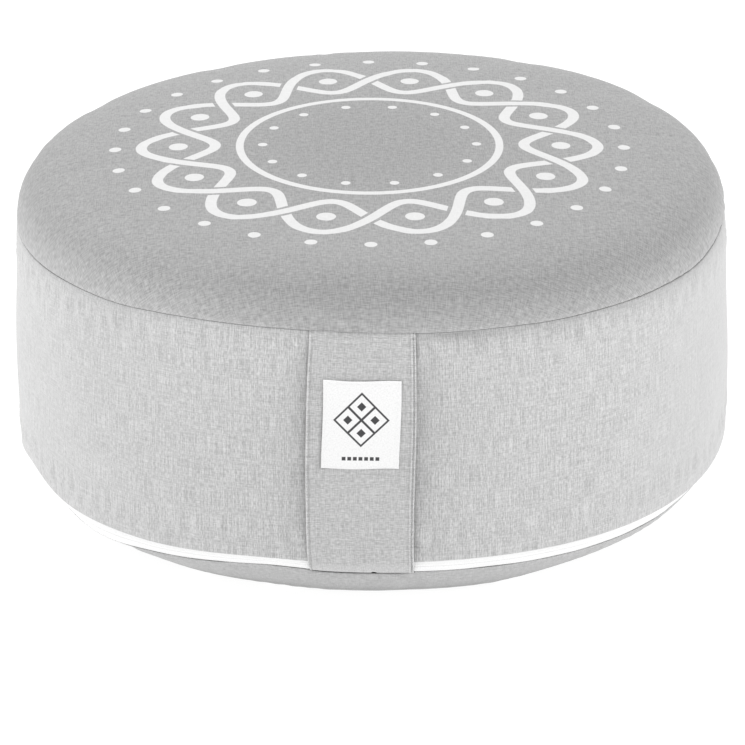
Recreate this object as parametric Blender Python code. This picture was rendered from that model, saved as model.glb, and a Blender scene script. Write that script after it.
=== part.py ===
"""Round meditation cushion (zafu).

A drum-shaped cushion under a crowned top panel, with a deep side band, a closed zip let in
near its foot, a lower band that tucks in under it, a base panel that it rests on, a strap
handle and a label. The body is turned true, and then settled a little out of true, as a
filled cushion is. Metres, +Z up, the handle faces -Y, and the base rests on Z = 0.
"""

import math

import bmesh
import bpy
from mathutils import Vector

# Driving dimensions of the cushion
SEAM_RADIUS = 0.1968          # top seam, between the top panel and the side band
SEAM_HEIGHT = 0.1552
BAND_FOOT_RADIUS = 0.2004     # lower edge of the side band
BAND_FOOT_HEIGHT = 0.0240
BAND_BULGE = 0.0013           # how far the band swells past a straight cone
RIM_RISE = 0.0296             # height of the top panel's rolled rim above its seam
RIM_SQUARENESS = 15.0
RIM_SOFTNESS = 0.51
CROWN = 0.0056                # how far the middle of the top stands over its rim

# Zip, lower band and base, from the top down
ZIP_TOP_RADIUS = 0.1982
ZIP_FOOT_RADIUS = 0.1914
ZIP_FOOT_HEIGHT = 0.0137
LOWER_TOP_RADIUS = 0.1925
LOWER_BELLY = (0.1920, 0.0098)
BASE_SEAM_RADIUS = 0.1818
BASE_SEAM_HEIGHT = 0.0044
BASE_TUCK = (0.1722, 0.0)
FLAT_RADIUS = 0.1634          # the part of the base that rests flat
FLAT_RINGS = (0.86, 0.70)     # rings of points on the flat, as shares of its radius

# Cloth and seams
CLOTH = 0.0020                # thickness of a panel with its turned-in edges
GAP = 0.0005                  # room between a panel and what lies under it
SEAM_GAP = 0.0004             # room between two pieces that meet at a seam
FOOT_GAP = 0.0010             # the same two below the band, where settling squeezes them
SEAM_DRAW = 0.0010            # how far a seam is drawn in
SEAM_SOFTENING = 0.0035       # height over which the cloth swells out again
LIP_HEIGHT = 0.0030           # rounding of the band's lower edge over the zip
LIP_DEPTH = 0.0020
LIP_CORNER = 0.3              # share of the lip at which its rounding has its corner

# How the filled cushion has settled, from the zip up: waves of the height round it, by
# times round, lift towards the handle, lift towards the right
SETTLE_WAVES = (
    (1, 0.0046, 0.0039),
    (2, 0.0015, -0.0030),
    (3, 0.0020, 0.0000),
)
TOP_SEAM_TILT = -0.0024       # what the top seam adds towards the right
TOP_LEAN = -0.0107            # rise of the top for each metre across, left to right
SEAM_FADE = (0.100, 0.150)    # heights between which the top stops following the band
RIM_FADE = 6                  # how fast the seam's wave fades towards the middle of the top
LEAN_SHARE = 0.8              # share of the rim's rise over which the top takes up its lean
REST_FADE = 0.012             # width of the ring round the flat in which the waves begin

# Soft dents where the base rolls up to its seam: bearing, half width, depth
BASE_DENTS = (
    (-2.62, 0.16, 0.0022),
    (-1.75, 0.11, 0.0014),
    (1.10, 0.13, 0.0016),
    (1.95, 0.20, 0.0024),
    (2.80, 0.12, 0.0018),
)
DENT_REACH = (0.120, 0.172)   # radii over which a dent deepens
DENT_TOP = (0.006, 0.022)     # heights over which it fades up the side

# Strap handle and its label
STRAP_CENTRE = -0.0065
STRAP_THICKNESS = 0.0022
STRAP_HALF_WIDTHS = (          # share of the height from the lower end, half width
    (0.00, 0.0272),
    (0.12, 0.0284),
    (0.50, 0.0289),
    (0.90, 0.0284),
    (1.00, 0.0281),
)
STRAP_FOOT = (0.1944, 0.0172)   # radius and height of its lower end
STRAP_HEAD_HEIGHT = 0.1545
STRAP_LIP_RISE = 0.0150       # height over which it comes out over the band's lip
STRAP_LIP_EASE = 1.5          # 1 comes out straight, more comes out sooner
STRAP_BOW = 0.0085            # how far the strap stands off the band at mid length
STRAP_FULLNESS = 2.4          # 2 is a plain arch, more is fuller towards the ends
STRAP_FLATNESS = 0.7          # how much of the band's round is lost at mid length
LABEL_WIDTH = 0.0405
LABEL_HEIGHT = 0.0456
LABEL_CENTRE_HEIGHT = 0.1079
LABEL_LEAN = math.radians(1.4)
LABEL_THICKNESS = 0.0010

# Fineness
AROUND = 64
RIM_STEPS = 8
CROWN_RINGS = (0.0, 0.28, 0.52, 0.68)
BAND_STEPS = 7
CURVE_STEPS = 4
STRAP_LONG_STEPS = 24
STRAP_CROSS_STEPS = 6
LABEL_STEPS = 6


def clear_scene():
    """Remove whatever the file holds."""
    for item in list(bpy.data.objects):
        bpy.data.objects.remove(item, do_unlink=True)


def make_material(name, colour, roughness):
    """Plain cloth material with the piece's colour."""
    material = bpy.data.materials.new(name)
    material.use_nodes = True
    shader = material.node_tree.nodes["Principled BSDF"]
    shader.inputs["Base Color"].default_value = (*colour, 1.0)
    shader.inputs["Roughness"].default_value = roughness
    shader.inputs["Metallic"].default_value = 0.0
    material.diffuse_color = (*colour, 1.0)
    return material


def ramp(value, low, high):
    """Smooth step from 0 at low to 1 at high."""
    share = min(1.0, max(0.0, (value - low) / (high - low)))
    return share * share * (3.0 - 2.0 * share)


def settling_wave(bearing, top_share):
    """Lift of the band at a bearing from the handle, with the top seam's own tilt."""
    lift = top_share * TOP_SEAM_TILT * math.sin(bearing)
    for times, to_front, to_right in SETTLE_WAVES:
        lift += to_front * math.cos(times * bearing)
        lift += to_right * math.sin(times * bearing)
    return lift


def dent_depth(bearing, radius, height):
    """Depth of the soft dents in the rolled edge of the base."""
    depth = 0.0
    for centre, half_width, deepest in BASE_DENTS:
        away = math.remainder(bearing - centre, 2.0 * math.pi) / half_width
        depth += deepest * math.exp(-away * away)
    return depth * ramp(radius, *DENT_REACH) * (1.0 - ramp(height, *DENT_TOP))


def settle(point):
    """Move a point of the true-turned cushion to where the filled cushion has settled.

    The seams rise and sink in long waves, from the zip up; the middle of the top keeps its
    height, and the top as a whole leans a little across.
    """
    x, y, z = point
    radius = math.hypot(x, y)
    bearing = math.atan2(x, -y)
    top_share = ramp(z, *SEAM_FADE)
    foot_share = min(1.0, max(0.0, z / ZIP_FOOT_HEIGHT))
    foot_share *= ramp(radius, FLAT_RADIUS - REST_FADE, FLAT_RADIUS)
    rim_share = min(1.0, radius / SEAM_RADIUS) ** RIM_FADE
    follow = foot_share * (1.0 - top_share) + rim_share * top_share
    lift = settling_wave(bearing, top_share) * follow
    lift += dent_depth(bearing, radius, z)
    lean_share = ramp(z, SEAM_HEIGHT, SEAM_HEIGHT + LEAN_SHARE * RIM_RISE)
    lift += TOP_LEAN * x * lean_share
    return Vector((x, y, z + lift))


def curve(start, control, end, steps):
    """Points along a quadratic curve, both ends included."""
    points = []
    for step in range(steps + 1):
        t = step / steps
        radius = (1 - t) ** 2 * start[0] + 2 * t * (1 - t) * control[0] + t * t * end[0]
        height = (1 - t) ** 2 * start[1] + 2 * t * (1 - t) * control[1] + t * t * end[1]
        points.append((radius, height))
    return points


def inset(path, distance):
    """The same path moved inwards, square to itself; its upper end is moved level."""
    moved = [(path[0][0] - distance, path[0][1])]
    for index in range(1, len(path)):
        before = path[index - 1]
        after = path[min(len(path) - 1, index + 1)]
        along = Vector((after[0] - before[0], after[1] - before[1])).normalized()
        radius = path[index][0] + along.y * distance
        height = path[index][1] - along.x * distance
        moved.append((radius, height))
    return moved


def level_inset(path, distance):
    """The same path moved straight inwards."""
    return [(radius - distance, height) for radius, height in path]


def crown_path(depth):
    """Section of the top from the middle out to the seam, at a depth under its surface."""
    radii = [share * SEAM_RADIUS for share in CROWN_RINGS]
    for step in range(1, RIM_STEPS + 1):
        angle = 0.5 * math.pi * step / RIM_STEPS
        radii.append(SEAM_RADIUS * math.sin(angle) ** (2.0 / RIM_SQUARENESS))
    path = []
    for radius in radii:
        share = radius / SEAM_RADIUS
        rim = max(0.0, 1.0 - share ** RIM_SQUARENESS) ** RIM_SOFTNESS
        height = SEAM_HEIGHT + (RIM_RISE - depth) * rim + CROWN * (1.0 - share * share)
        path.append((share * (SEAM_RADIUS - depth), height))
    return path


def band_radius(height):
    """Outer radius of the side band: a cone with a swell, drawn in at the top seam."""
    share = (SEAM_HEIGHT - height) / (SEAM_HEIGHT - BAND_FOOT_HEIGHT)
    radius = SEAM_RADIUS + (BAND_FOOT_RADIUS - SEAM_RADIUS) * share
    radius += 4.0 * BAND_BULGE * share * (1.0 - share)
    return radius - SEAM_DRAW * (1.0 - ramp(SEAM_HEIGHT - height, 0.0, SEAM_SOFTENING))


def band_path():
    """Section of the side band from its top seam to the lip over the zip."""
    top = SEAM_HEIGHT - SEAM_GAP
    heights = [top, top - 0.5 * SEAM_SOFTENING, top - SEAM_SOFTENING]
    lip = BAND_FOOT_HEIGHT + LIP_HEIGHT
    for step in range(1, BAND_STEPS + 1):
        share = step / BAND_STEPS
        heights.append(heights[2] + (lip - heights[2]) * share)
    path = [(band_radius(height), height) for height in heights]
    corner_radius = BAND_FOOT_RADIUS - LIP_CORNER * LIP_DEPTH
    path.append((corner_radius, BAND_FOOT_HEIGHT + LIP_CORNER * LIP_HEIGHT))
    path.append((BAND_FOOT_RADIUS - LIP_DEPTH, BAND_FOOT_HEIGHT))
    return path


def zip_path():
    """Section of the zip, which slants in under the band's lip."""
    top = (ZIP_TOP_RADIUS, BAND_FOOT_HEIGHT - SEAM_GAP)
    foot = (ZIP_FOOT_RADIUS, ZIP_FOOT_HEIGHT + 0.5 * FOOT_GAP)
    middle = ((top[0] + foot[0]) / 2, (top[1] + foot[1]) / 2)
    return [top, middle, foot]


def lower_path():
    """Section of the lower band, from the zip to the base seam."""
    top = (LOWER_TOP_RADIUS, ZIP_FOOT_HEIGHT - 0.5 * FOOT_GAP)
    foot = (BASE_SEAM_RADIUS, BASE_SEAM_HEIGHT)
    return curve(top, LOWER_BELLY, foot, CURVE_STEPS)


def base_path():
    """Section of the base panel, from the base seam to the middle of the flat."""
    start = (BASE_SEAM_RADIUS - SEAM_GAP, BASE_SEAM_HEIGHT - 0.5 * SEAM_GAP)
    path = curve(start, BASE_TUCK, (FLAT_RADIUS, 0.0), CURVE_STEPS)
    for share in (*FLAT_RINGS, 0.0):
        path.append((share * FLAT_RADIUS, 0.0))
    return path


def turn(name, profile, material, closed):
    """Turn a section round the upright axis, settle it and make it a named object."""
    shape = bmesh.new()
    corners = [shape.verts.new((0.0, -radius, height)) for radius, height in profile]
    edges = [shape.edges.new(pair) for pair in zip(corners, corners[1:])]
    if closed:
        edges.append(shape.edges.new((corners[-1], corners[0])))
    bmesh.ops.spin(
        shape, geom=corners + edges, cent=(0.0, 0.0, 0.0), axis=(0.0, 0.0, 1.0),
        angle=2.0 * math.pi, steps=AROUND, use_merge=True,
    )
    bmesh.ops.remove_doubles(shape, verts=shape.verts, dist=0.00001)
    bmesh.ops.recalc_face_normals(shape, faces=shape.faces)
    for corner in shape.verts:
        corner.co = settle(corner.co)
    return finish(name, shape, material)


def finish(name, shape, material):
    """Store a bmesh in a new smooth-shaded object of the given name."""
    mesh = bpy.data.meshes.new(name)
    shape.to_mesh(mesh)
    shape.free()
    mesh.shade_smooth()
    mesh.set_sharp_from_angle(angle=math.radians(50.0))
    mesh.materials.append(material)
    item = bpy.data.objects.new(name, mesh)
    bpy.context.scene.collection.objects.link(item)
    return item


def make_top_panel(material):
    """Crowned sheet over the filling, with its edge turned down to the seam."""
    outer = crown_path(0.0)
    outer[-1] = (SEAM_RADIUS, SEAM_HEIGHT + SEAM_SOFTENING)
    outer.append((SEAM_RADIUS - 0.6 * SEAM_DRAW, SEAM_HEIGHT))
    inner = crown_path(CLOTH)
    return turn("top_panel", outer + inner[::-1], material, closed=False)


def make_side_band(material):
    """The filled body: the band is its side, and it backs every other panel."""
    crown = crown_path(CLOTH + GAP)
    crown[-1] = (crown[-1][0], SEAM_HEIGHT - SEAM_GAP)
    zip_back = level_inset(zip_path(), CLOTH + GAP)
    zip_back[0] = (zip_back[0][0], BAND_FOOT_HEIGHT)
    foot = inset(lower_path() + base_path()[1:], CLOTH + FOOT_GAP)[1:]
    return turn("side_band", crown + band_path() + zip_back + foot, material, closed=False)


def make_ring(name, outer, inner, material):
    """Closed ring of cloth between an outer and an inner section."""
    return turn(name, outer + inner[::-1], material, closed=True)


def make_base_panel(material):
    """Base sheet: flat where it rests, turned up to the base seam."""
    outer = base_path()
    inner = inset(outer, CLOTH)
    return turn("base_panel", outer[::-1] + inner, material, closed=False)


def strap_half_width(share):
    """Half width of the strap at a share of its height, from the table of widths."""
    for (low, narrow), (high, wide) in zip(STRAP_HALF_WIDTHS, STRAP_HALF_WIDTHS[1:]):
        if share <= high:
            return narrow + (wide - narrow) * (share - low) / (high - low)
    return STRAP_HALF_WIDTHS[-1][1]


def strap_section(share):
    """Radius and height of the strap's back at a share of its height.

    It leaves the seam under the zip, comes out over the band's lip, and then bows off the
    band up to the top seam.
    """
    height = STRAP_FOOT[1] + (STRAP_HEAD_HEIGHT - STRAP_FOOT[1]) * share
    climb = min(1.0, (height - STRAP_FOOT[1]) / STRAP_LIP_RISE)
    over_lip = 1.0 - (1.0 - climb) ** STRAP_LIP_EASE
    radius = STRAP_FOOT[0] + (band_radius(height) + GAP - STRAP_FOOT[0]) * over_lip
    bow = STRAP_BOW * (1.0 - abs(2.0 * share - 1.0) ** STRAP_FULLNESS)
    return Vector((radius + bow, height))


def strap_point(across, share, proud):
    """Point on the strap, at a distance across from its middle and proud of its back."""
    step = 0.001
    ahead = strap_section(min(1.0, share + step))
    behind = strap_section(max(0.0, share - step))
    along = (ahead - behind).normalized()
    radius, height = strap_section(share) + Vector((along.y, -along.x)) * proud
    bearing = (STRAP_CENTRE + across) / radius
    loss = STRAP_FLATNESS * (1.0 - abs(2.0 * share - 1.0) ** 2)
    x = radius * math.sin(bearing)
    y = -radius * math.cos(bearing) - loss * across * across / (2.0 * radius)
    return settle((x, y, height))


def make_sheet(name, place, cross_steps, long_steps, thickness, material):
    """Sheet over a unit grid, placed by a function of (across, along) and then thickened."""
    shape = bmesh.new()
    bmesh.ops.create_grid(shape, x_segments=cross_steps, y_segments=long_steps, size=0.5)
    for corner in shape.verts:
        corner.co = place(corner.co.x, corner.co.y + 0.5)
    bmesh.ops.recalc_face_normals(shape, faces=shape.faces)
    outwards = Vector((0.0, -1.0, 0.0))
    if sum(face.normal.dot(outwards) for face in shape.faces) < 0.0:
        bmesh.ops.reverse_faces(shape, faces=shape.faces)
    item = finish(name, shape, material)
    cloth = item.modifiers.new("Cloth thickness", "SOLIDIFY")
    cloth.thickness = thickness
    cloth.offset = 1.0
    cloth.use_even_offset = True
    return item


def make_handle(material):
    """Strap sewn into the top seam and under the zip, standing off the band between them."""
    def place(across, share):
        return strap_point(2.0 * across * strap_half_width(share), share, 0.0)
    return make_sheet(
        "handle", place, STRAP_CROSS_STEPS, STRAP_LONG_STEPS, STRAP_THICKNESS, material)


def make_label(material):
    """Label on the front of the strap, leaning a little."""
    strap_height = STRAP_HEAD_HEIGHT - STRAP_FOOT[1]
    centre_share = (LABEL_CENTRE_HEIGHT - STRAP_FOOT[1]) / strap_height
    proud = STRAP_THICKNESS + GAP

    def place(across, along):
        sideways = across * LABEL_WIDTH
        upwards = (along - 0.5) * LABEL_HEIGHT
        turned_x = sideways * math.cos(LABEL_LEAN) + upwards * math.sin(LABEL_LEAN)
        turned_z = upwards * math.cos(LABEL_LEAN) - sideways * math.sin(LABEL_LEAN)
        return strap_point(turned_x, centre_share + turned_z / strap_height, proud)
    return make_sheet("label", place, LABEL_STEPS, LABEL_STEPS, LABEL_THICKNESS, material)


def main():
    clear_scene()
    mid_grey = make_material("mid_grey_chambray", (0.42, 0.42, 0.42), 0.85)
    light_grey = make_material("light_grey_chambray", (0.58, 0.58, 0.58), 0.88)
    base_grey = make_material("base_cloth", (0.38, 0.38, 0.38), 0.80)
    white = make_material("white_tape", (0.85, 0.85, 0.85), 0.60)
    label_white = make_material("label_white", (0.88, 0.88, 0.88), 0.50)
    make_side_band(light_grey)
    make_top_panel(mid_grey)
    make_ring("zip", zip_path(), level_inset(zip_path(), CLOTH), white)
    make_ring("lower_band", lower_path(), inset(lower_path(), CLOTH), light_grey)
    make_base_panel(base_grey)
    make_handle(light_grey)
    make_label(label_white)


main()
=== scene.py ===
"""Round meditation cushion (zafu), dressed in its cloth.

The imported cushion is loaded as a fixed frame. Around it this file makes the filled body with
its side band, the printed top, the closed zip, the lower band, the printed base, the strap
handle with its topstitching, and the label. Metres, +Z up, the handle faces -Y and the base
rests on Z = 0. A bearing is the angle from the handle, growing towards +X.
"""

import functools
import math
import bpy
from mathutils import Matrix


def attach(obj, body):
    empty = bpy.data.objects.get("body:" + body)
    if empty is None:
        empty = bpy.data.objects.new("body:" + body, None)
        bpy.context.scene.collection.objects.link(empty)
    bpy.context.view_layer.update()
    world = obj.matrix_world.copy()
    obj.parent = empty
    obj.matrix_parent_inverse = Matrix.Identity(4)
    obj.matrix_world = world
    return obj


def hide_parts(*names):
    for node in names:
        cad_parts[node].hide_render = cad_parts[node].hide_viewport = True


bl_info = {
    "name": "Zafu cushion",
    "version": (1, 0, 0),
    "blender": (4, 5, 0),
    "location": "View3D > Sidebar > Zafu",
    "description": "Dresses a round floor cushion: body, prints, zip, strap, label and stage",
    "category": "Object",
}

import bpy
import numpy as np
from bpy.props import FloatProperty, FloatVectorProperty, IntProperty, PointerProperty
from mathutils import Matrix, Vector

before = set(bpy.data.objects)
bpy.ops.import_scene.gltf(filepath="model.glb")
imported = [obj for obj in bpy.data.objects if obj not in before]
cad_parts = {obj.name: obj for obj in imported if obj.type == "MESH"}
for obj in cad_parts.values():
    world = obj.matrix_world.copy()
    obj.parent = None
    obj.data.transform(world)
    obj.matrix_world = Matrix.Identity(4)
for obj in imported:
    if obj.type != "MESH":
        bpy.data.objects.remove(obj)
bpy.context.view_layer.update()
BODY = "root"

# Sections of the cushion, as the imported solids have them
SEAM_RADIUS = 0.1968          # top seam
SEAM_HEIGHT = 0.1552
BAND_FOOT_RADIUS = 0.2004     # lower edge of the side band
BAND_FOOT_HEIGHT = 0.0240
BAND_BULGE = 0.0013
RIM_RISE = 0.0296             # rolled rim of the top, above its seam
RIM_SQUARENESS = 15.0
RIM_SOFTNESS = 0.51
CROWN = 0.0056
ZIP_TOP_RADIUS = 0.1982
ZIP_FOOT_RADIUS = 0.1921
ZIP_FOOT_HEIGHT = 0.0137
LOWER_TOP_RADIUS = 0.1925
LOWER_BELLY = (0.1920, 0.0098)
BASE_SEAM_RADIUS = 0.1818
BASE_SEAM_HEIGHT = 0.0044
BASE_TUCK = (0.1722, 0.0)
FLAT_RADIUS = 0.1634          # the part of the base that rests flat
SEAM_GAP = 0.0004
ZIP_GAP = 0.00006
TOP_SEAM_GAP = 0.00006
SEAM_DRAW = 0.0004            # how far a seam draws the cloth in
SEAM_SOFTENING = 0.0050       # height over which the cloth swells out again
SEAM_LIFTS = (                # bearing, half width, lift of the top seam
    (0.130, 0.270, -0.0012),
    (0.500, 0.110, -0.0005),
    (-0.750, 0.140, -0.0010),
    (1.100, 0.120, -0.0010),
)
SEAM_OPENINGS = (             # bearing, half width, how far the top seam stands open
    (1.300, 0.480, 0.00050),
    (-1.150, 0.260, 0.00030),
    (2.600, 0.300, 0.00030),
    (-2.300, 0.300, 0.00025),
)
SEAM_LIFT_REACH = 0.018
SEAM_LIFT_FADE = (0.120, 0.180)   # radii over which the top takes up these lifts
FOOT_LIFTS = (                # bearing, half width, lift of the lip, the zip's foot, the base's edge
    (-0.050, 0.360, 0.0000, 0.0010, 0.0000),
    (-0.320, 0.150, 0.0008, 0.0022, 0.0007),
    (0.340, 0.160, 0.0000, 0.0000, -0.0014),
    (-0.620, 0.260, -0.0014, -0.0008, 0.0000),
    (-1.250, 0.180, 0.0072, 0.0060, 0.0010),
    (-0.870, 0.170, 0.0000, -0.0028, 0.0024),
)
FOOT_TUCK = (-0.985, 0.205, 0.0050, 0.0016)   # bearing, half width, draw-in and lift of the lower band
TUCK_START = 0.0012           # height over which the lower band turns in there, under the zip
LIP_REACH = (0.030, 0.085)

# How the filled cushion has settled: times round, lift to the front, lift to the right
SETTLE_WAVES = (
    (1, 0.0046, 0.0039),
    (2, 0.0015, -0.0030),
    (3, 0.0020, 0.0000),
)
TOP_SEAM_TILT = -0.0024
TOP_LEAN = -0.0107
SEAM_FADE = (0.100, 0.150)
RIM_FADE = 6
LEAN_SHARE = 0.8
REST_FADE = 0.012
BASE_DENTS = (                # bearing, half width, depth
    (-2.62, 0.16, 0.0022),
    (-1.75, 0.11, 0.0014),
    (1.10, 0.13, 0.0016),
    (1.95, 0.20, 0.0024),
    (2.80, 0.12, 0.0018),
)
DENT_REACH = (0.120, 0.172)
DENT_TOP = (0.006, 0.022)

# Strap and label
STRAP_PLAN = (                # at even steps from the lower end: middle, half width
    (-0.0072, 0.0277),
    (-0.0078, 0.0280),
    (-0.0076, 0.0282),
    (-0.0071, 0.0285),
    (-0.0063, 0.0285),
    (-0.0057, 0.0281),
    (-0.0050, 0.0273),
)
STRAP_HALF_WIDTH = STRAP_PLAN[3][1]   # of the strap laid flat
STRAP_FOOT = (0.1924, 0.0142)
STRAP_HEAD_HEIGHT = 0.1550
STRAP_HEIGHT = STRAP_HEAD_HEIGHT - STRAP_FOOT[1]
STRAP_LIP_RISE = 0.0150
STRAP_LIP_EASE = 1.5
STRAP_LIFT = 0.0005           # room between the band and the strap where it lies close
STRAP_BOW = 0.0085
STRAP_FULLNESS = 2.4
STRAP_FLATNESS = 0.7
LABEL_WIDTH = 0.0403
LABEL_HEIGHT = 0.0470
LABEL_CENTRE = (-0.0062, 0.1081)   # across, height
LABEL_SHARE = (LABEL_CENTRE[1] - STRAP_FOOT[1]) / STRAP_HEIGHT   # its middle, up the strap
LABEL_LEAN = math.radians(2.1)
LABEL_TILT = math.radians(0.3)

# The photograph's view: the frame is taken to be 745 pixels square
PICTURE = 745.0
FOCAL_PIXELS = 3971.6
TARGET_PIXEL = (372.23, 341.86)   # where the point 70 mm over the base's middle shows
TARGET = Vector((0.0, 0.0, 0.07))
DISTANCE = 2.2496
ELEVATION = 0.4198
ROLL = -0.01324
SENSOR = 36.0


# ---------------------------------------------------------------- settings

def length_setting(name, default, description):
    """A setting in metres."""
    return FloatProperty(name=name, description=description, default=default, unit="LENGTH")


def colour_setting(name, default, description):
    """A setting that is a colour."""
    return FloatVectorProperty(
        name=name, description=description, subtype="COLOR", default=default, min=0, max=1)


class ZafuShape(bpy.types.PropertyGroup):
    """How soft and uneven the filled cushion is."""

    around: IntProperty(
        name="Points around", description="Points round each turned piece", default=720, min=64)
    seam_roll: length_setting("Seam roll", 0.0006, "Radius of the fold beside a seam")
    relief: length_setting("Unevenness", 0.00040, "Usual height of the cloth's unevenness")
    relief_limit: length_setting(
        "Most unevenness", 0.0016, "Furthest that the cloth moves in or out")
    pucker: length_setting("Pucker", 0.00028, "Depth of the small gathers beside the seams")
    pressure: FloatProperty(
        name="Pressure", description="Pressure of the filling on the cover", default=4.0)
    slack: FloatProperty(
        name="Slack", description="How much larger the cloth is than the form", default=0.018)


class ZafuCloth(bpy.types.PropertyGroup):
    """Colours and thread of the cloths."""

    band: colour_setting("Band", 3 * (0.465,), "Light grey chambray of the band and the strap")
    top: colour_setting("Top", 3 * (0.270,), "Mid-grey chambray of the top")
    base: colour_setting("Base", 3 * (0.320,), "Smooth grey cloth of the base")
    tape: colour_setting("Zip", 3 * (0.900,), "White zip tape")
    label: colour_setting("Label", 3 * (0.815,), "White woven label")
    ink: colour_setting("Print", 3 * (0.590,), "White print on the top and the base")
    dark: colour_setting(
        "Label thread", (0.045, 0.045, 0.047), "Dark thread woven into the label")
    thread_pitch: length_setting(
        "Thread pitch", 0.00038, "From one thread of the band's weave to the next")
    top_pitch: length_setting(
        "Top thread pitch", 0.00062, "From one thread of the top's weave to the next")


class ZafuPrint(bpy.types.PropertyGroup):
    """The printed patterns."""

    waves: IntProperty(
        name="Waves", description="Waves of each strand of the top's braid", default=7, min=3)
    braid: length_setting(
        "Braid radius", 0.1060, "From the middle of the top to the middle of the braid")
    swing: length_setting("Braid swing", 0.0205, "How far a strand swings out and in")
    line: length_setting("Line", 0.0062, "Width of the braid's strands")
    reach: length_setting(
        "Print radius", 0.1410, "From the middle of the top to the outermost dots")
    sprig_pitch: length_setting(
        "Sprig pitch", 0.0570, "From one paisley sprig of the base to the next")
    sprig_turn: FloatProperty(
        name="Sprig rows", description="Turn of the rows of sprigs",
        default=math.radians(2.0), subtype="ANGLE")


class ZafuSewing(bpy.types.PropertyGroup):
    """Topstitching of the strap and the label."""

    stitch: length_setting("Stitch", 0.0029, "Length of a stitch")
    gap: length_setting("Stitch gap", 0.0007, "From a stitch to the next one")
    thread: length_setting("Thread", 0.00045, "Thickness of the sewing thread")
    strap_left: length_setting(
        "Left seam", 0.0015, "From the strap's left edge to its topstitching")
    strap_right: length_setting(
        "Right seam", 0.0012, "From the strap's right edge to its topstitching")
    label_edge: length_setting("Label seam", 0.0014, "From the label's edge to its stitching")


# ---------------------------------------------------------------- plain geometry

TINY = 1e-12                  # keeps a division from having nothing under it
CURVE_POINTS = 200
SPACING_GROWTH = 6.0          # a step between points grows by one part in this of its distance


def ramp(value, low, high):
    """Smooth step from 0 at low to 1 at high: 3t^2 - 2t^3."""
    share = np.clip((value - low) / (high - low), 0.0, 1.0)
    return share * share * (3.0 - 2.0 * share)


def rolled_in(away, radius):
    """How far a fold has turned in at a distance from its seam: a quarter round."""
    share = np.clip(away / max(radius, TINY), 0.0, 1.0)
    return radius * (1.0 - np.sqrt(1.0 - (1.0 - share) ** 2))


def curve(start, control, end):
    """Quadratic curve from start to end, pulled towards the control point."""
    t = np.linspace(0.0, 1.0, CURVE_POINTS)[:, None]
    return (1 - t) ** 2 * np.array(start) + 2 * t * (1 - t) * np.array(control) + t * t * end


def lengths(path):
    """Distance along a path at each of its points."""
    steps = np.linalg.norm(np.diff(path, axis=0), axis=1)
    return np.concatenate([[0.0], np.cumsum(steps)])


def at(path, distance, values=None):
    """Points of a path at distances along it, or other pairs of values that its points have."""
    values = path if values is None else values
    run = lengths(path)
    return np.stack([np.interp(distance, run, values[:, axis]) for axis in (0, 1)], axis=1)


def spacing(path, fine, coarse, crowd_start=True, crowd_end=True):
    """Distances along a path whose steps grow from fine beside a seam to coarse away from it.

    The step grows by a sixth of the distance from the nearest crowded end, and the points
    are where the running sum of 1 / step passes whole numbers.
    """
    total = lengths(path)[-1]
    s = np.linspace(0.0, total, 4000)
    from_start = s if crowd_start else total
    from_end = total - s if crowd_end else total
    away = np.minimum(from_start, from_end)
    step = np.clip(fine + away / SPACING_GROWTH, fine, coarse)
    count = np.concatenate([[0.0], np.cumsum(np.diff(s) / (0.5 * (step[1:] + step[:-1])))])
    return np.interp(np.linspace(0.0, count[-1], math.ceil(count[-1]) + 1), count, s)


def smooth_noise(bearing, seed, low, high, terms=40):
    """Sum of sines round the cushion, of low to high times round, with a spread of about 1."""
    draw = np.random.RandomState(seed)
    times = draw.randint(low, high, terms)
    turn = draw.uniform(0.0, 2.0 * math.pi, terms)
    waves = np.sin(times[:, None] * np.ravel(bearing)[None] + turn[:, None])
    return waves.sum(axis=0).reshape(np.shape(bearing)) * math.sqrt(2.0 / terms)


def hump(value, centre, half_width):
    """Bell curve e^(-d^2), with d the distance from the centre in half widths."""
    return np.exp(-((value - centre) / half_width) ** 2)


def bump(bearing, centre, half_width, power=2):
    """Bell curve e^(-d^power) round the cushion, with d as in hump and the bearing wrapped."""
    away = (np.mod(bearing - centre + math.pi, 2.0 * math.pi) - math.pi) / half_width
    return np.exp(-away ** power)


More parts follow.
